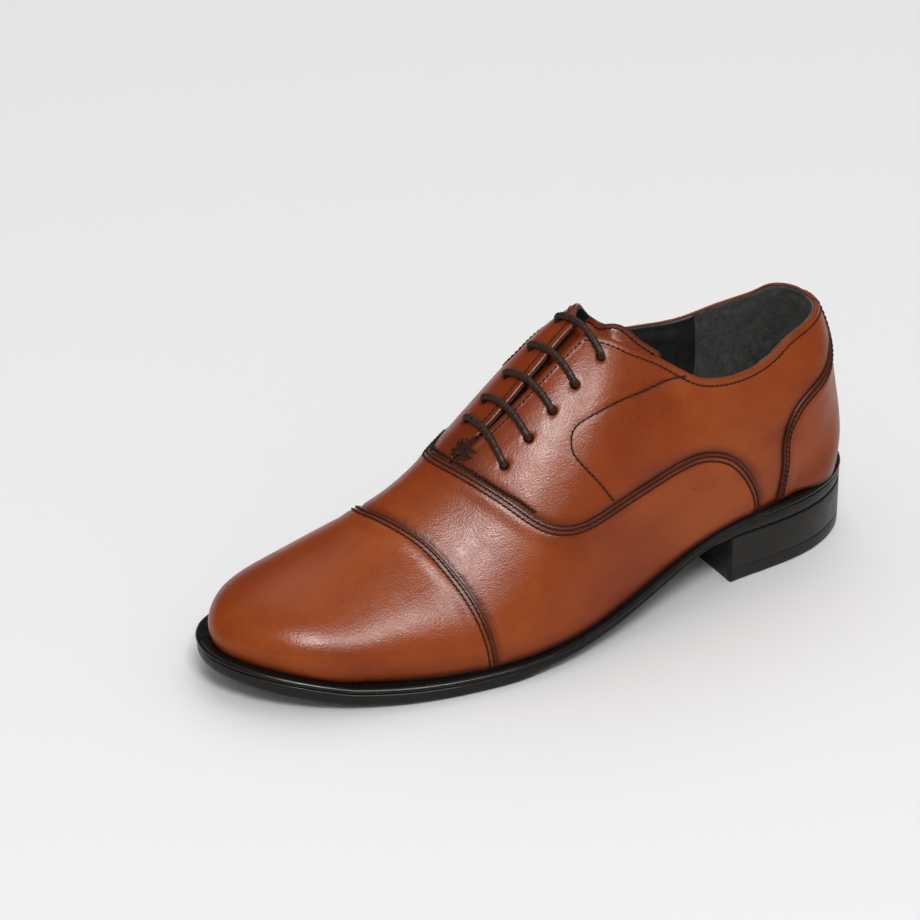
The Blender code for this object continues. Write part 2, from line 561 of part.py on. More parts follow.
def sole(rubber, board, cork, foam, lining_leather, metal):
    outline = sole_outline()
    feather = feather_outline()
    holes = [circle(x, y, NAIL_RADIUS + GAP) for x, y in NAILS]

    def share(y):
        return feather_height(y) - GAP - 0.1 - bottom_height(y)

    def outsole_top(y):
        return bottom_height(y) + share(y) * 0.6

    def welt_low(y):
        return outsole_top(y) + GAP

    def welt_top(y):
        return feather_height(y) - GAP - 0.1

    def waist(y):
        return np.interp(y, (-40, 5, 55, 76), (1, 0.91, 0.91, 0.99))

    plate("outsole", outline, holes, bottom_height, outsole_top, rubber, pinch=waist)
    inner = inset(feather, 9)
    welt_inner = ring_of(inner)
    plate("welt", inset(outline, 0.2), [welt_inner], welt_low, welt_top, rubber)
    slot = np.array([(-7, -28), (7, -28), (7, 72), (-7, 72), (-7, -28)], float)
    plate("cork_filler", inset(feather, 9 + GAP), [slot], welt_low, welt_top, cork)
    shank = np.array([(-6.5, -27.5), (6.5, -27.5), (6.5, 71.5), (-6.5, 71.5)], float)
    plate("shank", shank, [], lambda y: welt_low(y) + 0.2, lambda y: welt_top(y) - 0.2, metal)

    def raised(height, heel=0.0):
        return lambda y: feather_height(y) + height + heel * np.interp(y, (60, 77), (0, 1))

    inner_wall = LEATHER + STIFFENING + LINING + 2 * GAP
    board_edge = inset(feather, inner_wall + 0.7)
    plate("insole_board", board_edge, [], raised(-0.05), raised(1.95), board)
    sock_edge = inset(feather, inner_wall + 1.6)
    plate("sock_liner", sock_edge, [], raised(2.25, 1.8), raised(3.25, 1.8), lining_leather)
    pad_edge = inset(feather, inner_wall + 3)
    front = np.array([(-40, 79), (0, 81), (40, 79)], float)

    def behind(line):
        return lambda mid: mid[:, 1] > np.interp(mid[:, 0], line[:, 0], line[:, 1])

    plate("heel_pad", pad_edge, [], raised(2.25), raised(3.75), foam, keep=behind(front), lines=[front])

    breast = np.array([(x, HEEL_BREAST_Y + 1.8 * (1 - (x / 35) ** 2)) for x in range(-42, 43, 12)], float)
    level = lambda z: (lambda y: np.full(np.shape(y), float(z)))
    heel_edge = inset(outline, 0.3)
    plate("heel_block", heel_edge, holes, level(TOP_PIECE + GAP), level(SEAT_Z - GAP), rubber,
          keep=behind(breast), lines=[breast])
    plate("heel_top_piece", heel_edge, [], level(0), level(TOP_PIECE), rubber,
          keep=behind(breast), lines=[breast])
    for number, (x, y) in enumerate(NAILS):
        ring = circle(x, y, NAIL_RADIUS)
        top = float(outsole_top(y)) - 0.1
        plate("heel_nail_%d" % (number + 1), ring[:-1], [], level(TOP_PIECE + 0.5), level(top), metal)


def through(s, t, side, slope):
    """Down one eyelet, from the front to the lane under it, leaning a little towards the slot."""
    lean = side * 0.018
    near, far = s - slope * lean, s - 2 * slope * lean
    return [(far, t - 2 * lean, BAR + 0.1), (near, t - lean, BAR - 0.1), (s, t - lean * 0.2, BAR - 0.9),
            (s, t, -0.6), (s, t, -2.6), (s, t, -4.2), (s, t + lean * 0.2, UNDER + 0.8)]


def lace_route():
    """One lace in straight bars, both ends tucked under the facings."""
    outer, inner = EYELETS_OUTER, EYELETS_INNER

    def bar(number, from_outer):
        """Across the front from one eyelet to the other."""
        a, b = (outer[number], inner[number]) if from_outer else (inner[number], outer[number])
        side = 1 if from_outer else -1
        slope = (b[0] - a[0]) / (b[1] - a[1])
        start = through(*a, side, slope)[::-1]
        return start + [((a[0] + b[0]) / 2, (a[1] + b[1]) / 2, BAR + 0.15)] + through(*b, -side, slope)

    down = UNDER
    route = [(7.53, 0.271, down), (7.85, 0.271, down), (8.17, 0.268, down), (8.37, 0.238, down)]
    route += bar(3, True)
    route += [(8.15, -0.206, down), (7.93, -0.226, down), (7.77, -0.234, down), (7.6, -0.231, down),
              (7.45, -0.212, down)]
    route += bar(1, False)
    route += [(7.5, 0.206, down), (7.35, 0.209, down), (7.2, 0.211, down)]
    route += bar(0, True)
    route += [(7.15, -0.172, down), (7.27, -0.152, down), (7.4, -0.145, down), (7.56, -0.15, down),
              (7.71, -0.172, down)]
    route += bar(2, False)
    route += [(8.03, 0.188, down), (8.22, 0.166, down), (8.41, 0.158, down), (8.64, 0.164, down),
              (8.86, 0.19, down)]
    route += bar(4, True)
    route += [(8.68, -0.222, down), (8.45, -0.262, down), (8.2, -0.272, down), (7.85, -0.288, down)]
    route = np.array(route, float)
    return on_last(route[:, 0], route[:, 1], route[:, 2])


def tube(name, points, radius, material):
    curve = bpy.data.curves.new(name, "CURVE")
    curve.dimensions = "3D"
    curve.bevel_depth = radius * MM
    curve.bevel_resolution = 2
    curve.use_fill_caps = True
    line = curve.splines.new("POLY")
    line.points.add(len(points) - 1)
    for place, point in zip(line.points, (points - MIDDLE) * MM):
        place.co = (*point, 1)
    line.use_smooth = True
    curve.materials.append(material)
    obj = bpy.data.objects.new(name, curve)
    SHOE.objects.link(obj)
    return obj


def lace(braid, dark):
    points = lace_route()
    length = np.r_[0, np.cumsum(np.linalg.norm(np.diff(points, axis=0), axis=1))]
    whole = length[-1]
    for name, start, end, count, radius, stuff in (
        ("aglet_1", 0, 10, 5, 1.15, dark),
        ("shoelace", 10 + GAP, whole - 10 - GAP, int(whole / 1.9), LACE_RADIUS, braid),
        ("aglet_2", whole - 10, whole, 5, 1.15, dark),
    ):
        tube(name, spline(length, points, np.linspace(start, end, count)), radius, stuff)


def material(name, colour, roughness, metallic=0.0):
    made = bpy.data.materials.new(name)
    made.use_nodes = True
    shader = made.node_tree.nodes["Principled BSDF"]
    shader.inputs["Base Color"].default_value = (*colour, 1)
    shader.inputs["Roughness"].default_value = roughness
    shader.inputs["Metallic"].default_value = metallic
    made.diffuse_color = (*colour, 1)
    return made


def main():
    leather = material("cognac_leather", (0.36, 0.1, 0.03), 0.35)
    lining_leather = material("black_lining_leather", (0.012, 0.012, 0.012), 0.5)
    suede = material("dark_suede", (0.02, 0.025, 0.02), 0.95)
    rubber = material("black_rubber", (0.015, 0.013, 0.012), 0.45)
    board = material("fibre_board", (0.35, 0.24, 0.14), 0.8)
    cork = material("cork", (0.4, 0.25, 0.13), 0.9)
    foam = material("latex_foam", (0.6, 0.55, 0.45), 0.9)
    metal = material("steel", (0.5, 0.5, 0.5), 0.3, 1.0)
    braid = material("waxed_cotton", (0.035, 0.018, 0.012), 0.6)
    tape = material("stay_tape", (0.05, 0.045, 0.04), 0.8)
    upper(Pattern(), leather, tape, lining_leather, suede, board, metal)
    tongue(leather, lining_leather)
    sole(rubber, board, cork, foam, lining_leather, metal)
    lace(braid, rubber)


for old in list(bpy.data.objects):
    bpy.data.objects.remove(old, do_unlink=True)
SHOE = bpy.data.collections.new("leather_oxford_shoe")
bpy.context.scene.collection.children.link(SHOE)
main()
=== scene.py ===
import math

import bmesh
import bpy
import numpy as np
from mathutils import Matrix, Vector, kdtree
from mathutils.geometry import delaunay_2d_cdt


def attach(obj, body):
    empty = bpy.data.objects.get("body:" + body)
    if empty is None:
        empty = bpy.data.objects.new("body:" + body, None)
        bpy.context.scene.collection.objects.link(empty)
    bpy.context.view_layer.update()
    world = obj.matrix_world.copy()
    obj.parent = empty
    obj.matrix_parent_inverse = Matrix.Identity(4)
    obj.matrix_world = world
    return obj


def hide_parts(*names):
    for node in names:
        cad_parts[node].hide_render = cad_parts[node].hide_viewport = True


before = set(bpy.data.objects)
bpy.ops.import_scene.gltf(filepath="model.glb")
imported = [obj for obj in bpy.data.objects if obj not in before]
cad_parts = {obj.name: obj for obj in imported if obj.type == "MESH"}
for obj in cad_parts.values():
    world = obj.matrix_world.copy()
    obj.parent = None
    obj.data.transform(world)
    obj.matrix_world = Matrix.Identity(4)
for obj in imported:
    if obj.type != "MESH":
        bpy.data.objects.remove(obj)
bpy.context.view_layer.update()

# Left cap-toe oxford. The upper is laid on one surface, the outside of the shoe as its last gives it:
# (s, t) with s from the toe (0) to the heel (17) and t from the outer feather edge (1) over the ridge
# (0) to the inner one (-1). In the flat pattern t is multiplied by T_SCALE, so that its triangles come out
# even. Lengths are in millimetres until a mesh is made.
MM = 0.001
T_SCALE = 5.0
SECTIONS = 17
# Outlines that take in an end of the pattern pass it at one of these s.
BEYOND_TOE, BEYOND_HEEL = -1, SECTIONS + 1
# The middle of the last's plan, which becomes the origin.
MIDDLE = np.array((1.72, 0.69, 0))
# The spacing of the pattern's grid.
FINE = 0.06

# The feather edge: y, x on the outer side, x on the inner side, z.
FEATHER = np.array((
    (-112, 33, -37, 10.6), (-90, 42, -44.5, 9.0), (-60, 50.5, -48, 8.0), (-30, 53, -42.5, 8.4),
    (0, 49.5, -33, 11.2), (30, 42.5, -27, 17.5), (60, 36, -27, 24.5), (90, 32, -29.5, 28.3),
    (120, 27.5, -28, 29.3),
), float)
# The section at each whole s: y where it starts on the feather edge, x, y and z on the ridge, how square it
# is, how full its outer and inner halves are, and how far the ridge's t leans.
LAST = np.array((
    (-111, -6, -146.5, 17.5, -0.048, -0.9, 0.6, 0),
    (-107, -6, -148, 25.8, -0.023, 0.2, 0.7, 0),
    (-102, -6, -141, 33.8, 0.007, 1.2, 1.1, 0),
    (-95, -6, -126.5, 40.2, 0.016, 2.1, 1.1, -0.02),
    (-86, -6, -106, 45.8, 0.005, 2.9, 0.9, -0.045),
    (-73, -5, -83, 54, -0.017, 2.7, 1, -0.055),
    (-55, -4, -56, 66.9, -0.051, 2.6, 1.7, 0.02),
    (-35, -3, -28, 86.5, -0.036, 2.7, 2, 0.09),
    (-13, -4, 1, 108.1, -0.007, 2.7, 3.5, 0.1),
    (9, -6, 29, 124.2, 0.003, 3.1, 4, 0.085),
    (31, -6, 57, 129.2, -0.011, 3.7, 4.6, 0.02),
    (51, -4, 86, 128.6, -0.002, 4.2, 5.3, 0),
    (69, -2, 113, 120.6, 0, 3.9, 4.3, 0),
    (85, 0, 135, 109.3, 0.017, 3.1, 3.3, 0),
    (98, 0, 143.5, 92.5, 0.026, 3, 2.5, 0),
    (107, 0, 148, 71, 0.009, 2.6, 1.7, 0),
    (113, 0, 150, 50.1, 0.012, 3.1, 1.1, 0),
    (117, 0, 147, 30, 0.011, 2.1, 0.4, 0),
), float)
# The sole's outline in plan, y and x down each side, and its underside, y and z.
SOLE_OUTER = (
    (-151.5, -8), (-146.5, 9), (-138, 20.5), (-125, 31.5), (-105, 42.5), (-80, 51), (-55, 55.5),
    (-30, 57), (0, 53), (30, 46), (55, 39.5), (77, 35.5), (100, 34), (122, 30.5), (139, 22), (149.5, 11),
    (153, 0),
)
SOLE_INNER = (
    (-147.5, -23), (-138.5, -34.5), (-125, -43.5), (-105, -50.3), (-80, -53.5), (-55, -52.5), (-30, -46),
    (0, -36), (30, -30), (55, -29.5), (77, -31.5), (100, -33.5), (122, -31), (139, -22.5), (149.5, -11),
)
SOLE_BOTTOM = np.array((
    (-152, 10.4), (-132, 6.1), (-111, 2.4), (-90, 0.8), (-70, 0.1), (-50, 0), (-30, 0.5), (-10, 2.6),
    (10, 6), (30, 11), (50, 16), (64, 19.2), (77, 21), (100, 21), (154, 21),
), float)
# Seams, stitch lines and free edges on the last, as (s, t). Those given for one side are mirrored.
CAP_SEAM = ((6.27, 1), (6.17, 0.8), (6.06, 0.631), (5.9, 0.474), (5.74, 0.324), (5.63, 0.239),
            (5.53, 0.143), (5.46, 0.037), (5.43, -0.06), (5.48, -0.2), (5.6, -0.33), (5.76, -0.47),
            (5.94, -0.64), (6.1, -0.8), (6.27, -1))
VAMP_WING = ((13.6, 1), (13.18, 0.942), (12.64, 0.878), (12.09, 0.812), (11.56, 0.763), (11.17, 0.741),
             (10.8, 0.725), (10.4, 0.715), (9.74, 0.702))
VAMP_SEAM = (*VAMP_WING, (8.9, 0.675), (8.1, 0.627), (7.51, 0.519), (7.12, 0.369), (6.82, 0.221),
             (6.59, 0.058), (6.52, -0.07), (6.58, -0.22), (6.8, -0.36), (7.12, -0.45), (7.55, -0.55),
             (8.1, -0.63), (8.9, -0.68), *((s, -t) for s, t in VAMP_WING[::-1]))
COUNTER_SEAM = ((13.38, 0.09), (13.7, 0.172), (13.88, 0.26), (13.88, 0.39), (13.68, 0.502),
                (13.25, 0.604), (12.97, 0.682), (12.99, 0.745), (13.21, 0.804), (13.62, 0.865),
                (13.96, 0.917), (14.3, 0.965), (14.55, 1))
TOPLINE = ((8.8, 0.045), (8.87, 0.075), (8.97, 0.11), (9.2, 0.185), (9.46, 0.267), (9.99, 0.384),
           (10.39, 0.464), (10.68, 0.507), (10.97, 0.527), (11.37, 0.529), (11.79, 0.507),
           (12.08, 0.473), (12.38, 0.411), (12.7, 0.351), (12.99, 0.276), (13.22, 0.18), (13.34, 0.08),
           (13.34, -0.02), (13.2, -0.11), (12.97, -0.19), (12.76, -0.27), (12.7, -0.325),
           (12.39, -0.402), (12.09, -0.445), (11.83, -0.482), (11.37, -0.515), (10.89, -0.513),
           (10.61, -0.501), (10.33, -0.477), (10.04, -0.444), (9.68, -0.39), (9.35, -0.3), (9.1, -0.21),
           (8.92, -0.13), (8.84, -0.08), (8.8, -0.045))
SLOT = ((6, 0.003), (6.95, 0.008), (7.6, 0.02), (8.8, 0.045))
LINING_SEAM = ((6.62, 0), (6.66, 0.15), (6.8, 0.35), (7.1, 0.6), (7.5, 1))
GRIP_SEAM = ((11.1, 0), (11.25, 0.2), (11.5, 0.35), (11.76, 0.45), (12.05, 0.55), (12.38, 0.65),
             (12.75, 0.78), (13, 1))
FACING_STITCH = ((10.42, 0.485), (10.1, 0.463), (9.74, 0.447), (9.35, 0.42), (8.93, 0.384),
                 (8.48, 0.346), (8.2, 0.335), (8.12, 0.373), (8.17, 0.426), (8.4, 0.52), (8.72, 0.626),
                 (8.83, 0.66))
TONGUE = ((9.16, 0), (9.2, 0.05), (9.5, 0.16), (9.78, 0.28), (10, 0.345), (10.1, 0.385), (10.02, 0.42),
          (9.72, 0.43), (9.1, 0.41), (8.4, 0.38), (7.8, 0.33), (7.4, 0.24), (7.1, 0.15), (6.86, 0.12),
          (6.74, 0.07), (6.72, 0), (6.74, -0.07), (6.86, -0.12), (7.1, -0.15), (7.4, -0.24),
          (7.8, -0.31), (8.4, -0.34), (8.85, -0.34), (9.05, -0.31), (9.13, -0.25), (9.15, -0.17),
          (9.15, -0.08), (9.16, 0))
EYELETS_OUTER = ((7.14, 0.212), (7.56, 0.204), (7.98, 0.202), (8.41, 0.203), (8.93, 0.206))
EYELETS_INNER = ((7.1, -0.185), (7.4, -0.19), (7.77, -0.188), (8.21, -0.187), (8.72, -0.19))
HOLES = EYELETS_OUTER + EYELETS_INNER
HOLE_RADIUS = 1.75
# The leather's thickness, and the air between pieces that would touch.
LEATHER = 1.2
AIR = 0.3
# How far the stitch rows and the hidden edge of the piece below lie from an overlaying edge.
SEAM_ROWS = (1.5, 3.5)
LAP = 4.3
TOPLINE_ROW = 3.3
# The lace's middle over the surface: on a bar across the slot, and on its way under the facings.
LACE_RADIUS = 1.4
BAR = LACE_RADIUS + 0.35
UNDER = -6.3


# ---- curves and the surface ----

def spline(knots, values, at):
    """The natural cubic through values at knots. Past an end it goes on as the last stretch's cubic."""
    knots = np.asarray(knots, float)
    values = np.asarray(values, float)
    steps = np.diff(knots)
    count = len(knots)
    matrix = np.eye(count)
    right = np.zeros(values.shape)
    for i in range(1, count - 1):
        matrix[i, i - 1] = steps[i - 1]
        matrix[i, i] = 2 * (steps[i - 1] + steps[i])
        matrix[i, i + 1] = steps[i]
        slope_after = (values[i + 1] - values[i]) / steps[i]
        right[i] = 6 * (slope_after - (values[i] - values[i - 1]) / steps[i - 1])
    bend = np.linalg.solve(matrix, right)
    at = np.asarray(at, float)
    cell = np.clip(np.searchsorted(knots, at) - 1, 0, count - 2)
    past = at - knots[cell]
    wide = steps[cell]
    if values.ndim > 1:
        past = past[..., None]
        wide = wide[..., None]
    left = wide - past
    a, b, p, q = values[cell], values[cell + 1], bend[cell], bend[cell + 1]
    curved = (p * left**3 + q * past**3) / (6 * wide)
    return curved + (a / wide - p * wide / 6) * left + (b / wide - q * wide / 6) * past


def last_point(s, t):
    """Each section is half a rounded box from the feather edge over the ridge, filled out on its sides."""
    s, t = np.broadcast_arrays(np.asarray(s, float), np.asarray(t, float))
    row = spline(np.arange(len(LAST)), LAST, s)
    edge = spline(FEATHER[:, 0], FEATHER[:, 1:], row[..., 0])
    outer = np.stack([edge[..., 0], row[..., 0], edge[..., 2]], -1)
    inner = np.stack([edge[..., 1], row[..., 0], edge[..., 2]], -1)
    middle = (outer + inner) / 2
    angle = (1 - t - row[..., 7] * (1 - t * t)) * np.pi / 2
    cos, sin = np.cos(angle), np.sin(angle)
    square = row[..., 4]
    across = (cos - square * np.cos(3 * angle)) / (1 - square)
    rise = (sin + square * np.sin(3 * angle)) / (1 - square)
    # The bulge is greatest, 1, a third of the way up.
    bulge = 3.08 * sin * cos**3
    full = bulge * (row[..., 5] * (1 + cos) / 2 + row[..., 6] * (1 - cos) / 2)
    point = middle + across[..., None] * (outer - inner) / 2 + rise[..., None] * (row[..., 1:4] - middle)
    point[..., 0] += full
    return point


def last_normal(s, t):
    """The surface's normal, taken a little inside its two ends and its edges, where it is ill defined."""
    s = np.clip(np.asarray(s, float), 0.15, SECTIONS - 0.15)
    corner = np.interp(s, (0, 2, SECTIONS - 2.5, SECTIONS), (0.86, 0.97, 0.97, 0.86))
    t = np.clip(np.asarray(t, float), -corner, corner)
    along = last_point(s + 0.01, t) - last_point(s - 0.01, t)
    round_it = last_point(s, t + 0.004) - last_point(s, t - 0.004)
    normal = np.cross(round_it, along)
    return normal / np.linalg.norm(normal, axis=-1, keepdims=True)


def on_last(flat, height):
    """Pattern points, t scaled, lifted off the surface."""
    s, t = flat[:, 0], flat[:, 1] / T_SCALE
    return last_point(s, t) + last_normal(s, t) * np.broadcast_to(height, s.shape)[:, None]


def arc(points):
    """The length along a line of points at each of them."""
    return np.r_[0, np.cumsum(np.linalg.norm(np.diff(points, axis=0), axis=1))]


def smooth(points, step=FINE):
    """A curve in the flat pattern through points given as (s, t)."""
    points = np.asarray(points, float) * (1, T_SCALE)
    length = arc(points)
    count = max(2, int(round(length[-1] / step)) + 1)
    return spline(length, points, np.linspace(0, length[-1], count))


def both_sides(half):
    """A seam that crosses the ridge, from its outer half."""
    half = np.asarray(half, float)
    mirrored = half * (1, -1)
    if abs(half[0, 1]) < 1e-6:
        mirrored = mirrored[1:]
    return np.r_[half[::-1], mirrored]


def by_mm(line, distance):
    """The line moved to its left by a distance over the surface."""
    ahead = np.gradient(line, axis=0)
    moving = np.linalg.norm(ahead, axis=1) > 1e-6
    line, ahead = line[moving], ahead[moving]
    normal = np.c_[-ahead[:, 1], ahead[:, 0]]
    normal /= np.linalg.norm(normal, axis=1, keepdims=True)
    small = 0.02
    reach = np.linalg.norm(on_last(line + small * normal, 0) - on_last(line, 0), axis=1) / small
    return line + normal * (distance / reach)[:, None]


def left_is(point, line):
    """1 if the point lies to the left of the line, else -1."""
    k = np.argmin(np.linalg.norm(line - point, axis=1))
    k = min(max(k, 1), len(line) - 2)
    ahead = line[k + 1] - line[k - 1]
    away = np.asarray(point) - line[k]
    return 1 if ahead[0] * away[1] - ahead[1] * away[0] > 0 else -1


def inside(points, polygon):
    """Which points of the plane lie in the polygon."""
    x, y = points[:, 0], points[:, 1]
    found = np.zeros(len(points), bool)
    for (ax, ay), (bx, by) in zip(polygon, np.roll(polygon, -1, axis=0)):
        if ay == by:
            continue
        crosses = (ay > y) != (by > y)
        found ^= crosses & (x < (bx - ax) * (y - ay) / (by - ay) + ax)
    return found


def grid_of(across, along):
    """The points of the plane at every pair of these coordinates."""
    x, y = np.meshgrid(across, along, indexing="ij")
    return np.c_[x.ravel(), y.ravel()]


def far_from(points, lines, distance):
    """The points in the plane that are not near any of the lines' own points."""
    raised = lambda flat: np.c_[flat, np.zeros(len(flat))]
    return points[distance_to(raised(points), raised(np.concatenate(lines))) > distance]


def triangulate(points, lines):
    """Points and triangles of the plane, with every line kept as edges."""
    found = [Vector(p) for p in points]
    edges = []
    for line in lines:
        first = len(found)
        found.extend(Vector(p) for p in line)
        edges.extend((first + i, first + i + 1) for i in range(len(line) - 1))
    flat, _, faces, _, _, _ = delaunay_2d_cdt(found, edges, [], 0, 1e-6)
    flat = np.array([tuple(p) for p in flat])
    faces = np.array([tuple(f) for f in faces if len(f) == 3])
    a, b, c = (flat[faces[:, i]] for i in range(3))
    area = (b[:, 0] - a[:, 0]) * (c[:, 1] - a[:, 1]) - (b[:, 1] - a[:, 1]) * (c[:, 0] - a[:, 0])
    faces[area < 0] = faces[area < 0][:, ::-1]
    return flat, faces[np.abs(area) > 1e-10]


def distance_to(points, line):
    """The distance in 3-D from each point to the nearest point of a dense line."""
    tree = kdtree.KDTree(len(line))
    for i, p in enumerate(line):
        tree.insert(p, i)
    tree.balance()
    return np.array([tree.find(p)[2] for p in points])


def sample(points, length, at):
    """The points of a line at these lengths along it."""
    return np.stack([np.interp(at, length, column) for column in points.T], -1)


def dense(flat_line, height=0.0, step=0.25):
    """3-D points at even steps along a pattern line."""
    points = on_last(flat_line, height)
    length = arc(points)
    return sample(points, length, np.linspace(0, length[-1], int(length[-1] / step) + 2))


def step_up(x, low, high):
    """0 up to low, 1 from high on, and smooth between them."""
    x = np.clip((np.asarray(x, float) - low) / (high - low), 0, 1)
    return x * x * (3 - 2 * x)


def closed(line, end, margin=0.0):
    """The outline of the pattern on one side of a seam, which runs round past the toe or the heel."""
    edge = T_SCALE + margin
    return np.r_[line, [(end, -edge), (end, edge)]]


def bell(distance, width):
    """1 on a line, falling off to both sides of it."""
    return np.exp(-(distance / width) ** 2)


def turned_in(distance, reach):
    """1 at a cut edge, falling to 0 at the reach."""
    return (1 - np.clip(distance / reach, 0, 1)) ** 2


# ---- meshes ----

def mesh_object(name, points, faces, look, body="shoe", node=None, angle=None, marks=None, welded=False):
    """A mesh that rides on a body, in place of a CAD node if one is named. The look is a material and
    a slot name; the slot name is not used."""
    material, slot = look
    mesh = bpy.data.meshes.new(name)
    placed = (np.asarray(points) - MIDDLE) * MM
    mesh.from_pydata([tuple(p) for p in placed], [], [tuple(int(i) for i in f) for f in faces])
    mesh.materials.append(material)
    mesh.polygons.foreach_set("use_smooth", [True] * len(mesh.polygons))
    if angle is not None:
        mesh.set_sharp_from_angle(angle=math.radians(angle))
    for key, values in (marks or {}).items():
        layer = mesh.attributes.new(key, "FLOAT", "POINT")
        layer.data.foreach_set("value", np.asarray(values, np.float32))
    mesh.update()
    obj = bpy.data.objects.new(name, mesh)
    bpy.context.scene.collection.objects.link(obj)
    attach(obj, body)
    if node:
        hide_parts(node)
    if welded:
        weld(obj)


def weld(obj):
    """Joins the vertices that meet, within 0.02 mm, and turns every face outwards."""
    mesh = bmesh.new()
    mesh.from_mesh(obj.data)
    bmesh.ops.remove_doubles(mesh, verts=mesh.verts, dist=0.02 * MM)
    bmesh.ops.recalc_face_normals(mesh, faces=mesh.faces)
    mesh.to_mesh(obj.data)
    mesh.free()


def shell(name, faces, low, high, look, marks=None, **more):
    """A closed sheet between two copies of the same triangles, given counter-clockwise in the pattern."""
    used, index = np.unique(faces, return_inverse=True)
    faces = index.reshape(-1, 3)
    count = len(used)
    directed = np.concatenate([faces[:, [0, 1]], faces[:, [1, 2]], faces[:, [2, 0]]])
    known = {(int(a), int(b)) for a, b in directed}
    rim = [(a, b) for a, b in known if (b, a) not in known]
    solid = [tuple(f) for f in faces] + [tuple(f + count) for f in faces[:, ::-1]]
    solid += [(b, a, a + count, b + count) for a, b in rim]
    marks = {key: np.r_[values[used], values[used]] for key, values in (marks or {}).items()}
    mesh_object(name, np.r_[low[used], high[used]], solid, look, marks=marks, **more)


def join(parts):
    """One list of vertices and one of faces from several."""
    verts, faces, total = [], [], 0
    for v, f in parts:
        verts.append(v)
        faces.extend(tuple(i + total for i in face) for face in f)
        total += len(v)
    return np.concatenate(verts), faces


def tube_mesh(points, radius, sides):
    """Vertices and faces of a closed round tube along 3-D points. Each point has its own radius, or one
    for every side."""
    ahead = np.gradient(points, axis=0)
    ahead /= np.linalg.norm(ahead, axis=1, keepdims=True)
    side = np.cross(ahead[0], (0.3, 0.2, 0.93))
    side /= np.linalg.norm(side)
    turn = 2 * np.pi * np.arange(sides) / sides
    verts = []
    for place, way, size in zip(points, ahead, radius):
        side = side - way * (side @ way)
        side /= np.linalg.norm(side)
        up = np.cross(way, side)
        size = np.broadcast_to(size, sides)
        verts.append(place + (np.cos(turn) * size)[:, None] * side + (np.sin(turn) * size)[:, None] * up)
    faces = []
    for k in range(len(points) - 1):
        for j in range(sides):
            a, b = k * sides + j, k * sides + (j + 1) % sides
            faces.append((a, b, b + sides, a + sides))
    faces.append(tuple(range(sides))[::-1])
    faces.append(tuple(range((len(points) - 1) * sides, len(points) * sides)))
    return np.concatenate(verts), faces


# ---- materials ----

class Nodes:
    """A small helper that builds a node tree left to right."""

    def __init__(self, name):
        self.material = bpy.data.materials.new(name)
        self.material.use_nodes = True
        self.tree = self.material.node_tree
        self.shader = self.tree.nodes["Principled BSDF"]
        self.place = self.add("ShaderNodeTexCoord").outputs["Object"]

    def add(self, kind, **settings):
        node = self.tree.nodes.new(kind)
        for key, value in settings.items():
            setattr(node, key, value)
        return node

    def link(self, value, socket):
        if isinstance(value, bpy.types.NodeSocket):
            self.tree.links.new(value, socket)
        else:
            socket.default_value = value

    def link_colour(self, value, socket):
        self.link(value if isinstance(value, bpy.types.NodeSocket) else (*value, 1), socket)

    def noise(self, scale, detail=3.0, roughness=0.5, stretch=None, distortion=0.0):
        node = self.add("ShaderNodeTexNoise")
        for key, value in zip(("Scale", "Detail", "Roughness", "Distortion"),
                              (scale, detail, roughness, distortion)):
            node.inputs[key].default_value = value
        self.link(self.stretched(stretch), node.inputs["Vector"])
        return node.outputs["Fac"]

    def stretched(self, stretch):
        if stretch is None:
            return self.place
        node = self.add("ShaderNodeMapping")
        node.inputs["Scale"].default_value = stretch
        self.link(self.place, node.inputs["Vector"])
        return node.outputs["Vector"]

    def cells(self, scale, stretch=None):
        node = self.add("ShaderNodeTexVoronoi", feature="SMOOTH_F1")
        node.inputs["Scale"].default_value = scale
        self.link(self.stretched(stretch), node.inputs["Vector"])
        return node.outputs["Distance"]

    def math(self, kind, a, b):
        node = self.add("ShaderNodeMath", operation=kind)
        self.link(a, node.inputs[0])
        self.link(b, node.inputs[1])
        return node.outputs[0]

    def ramp(self, value, low, high, to_low=0.0, to_high=1.0):
        node = self.add("ShaderNodeMapRange")
        self.link(value, node.inputs["Value"])
        for key, number in zip(("From Min", "From Max", "To Min", "To Max"), (low, high, to_low, to_high)):
            node.inputs[key].default_value = number
        return node.outputs["Result"]

    def mix(self, amount, a, b):
        node = self.add("ShaderNodeMix", data_type="RGBA")
        self.link(amount, node.inputs[0])
        self.link_colour(a, node.inputs[6])
        self.link_colour(b, node.inputs[7])
        return node.outputs[2]

    def mark(self, name):
        return self.add("ShaderNodeAttribute", attribute_name=name).outputs["Fac"]

    def bump(self, height, distance, strength, under=None):
        node = self.add("ShaderNodeBump")
        node.inputs["Distance"].default_value = distance
        node.inputs["Strength"].default_value = strength
        self.link(height, node.inputs["Height"])
        if under is not None:
            self.link(under, node.inputs["Normal"])
        return node.outputs["Normal"]

    def finish(self, colour, roughness, normal=None, **fixed):
        self.link_colour(colour, self.shader.inputs["Base Color"])
        self.link(roughness, self.shader.inputs["Roughness"])
        if normal is not None:
            self.link(normal, self.shader.inputs["Normal"])
        for key, value in fixed.items():
            self.shader.inputs[key.replace("_", " ")].default_value = value
        return self.material


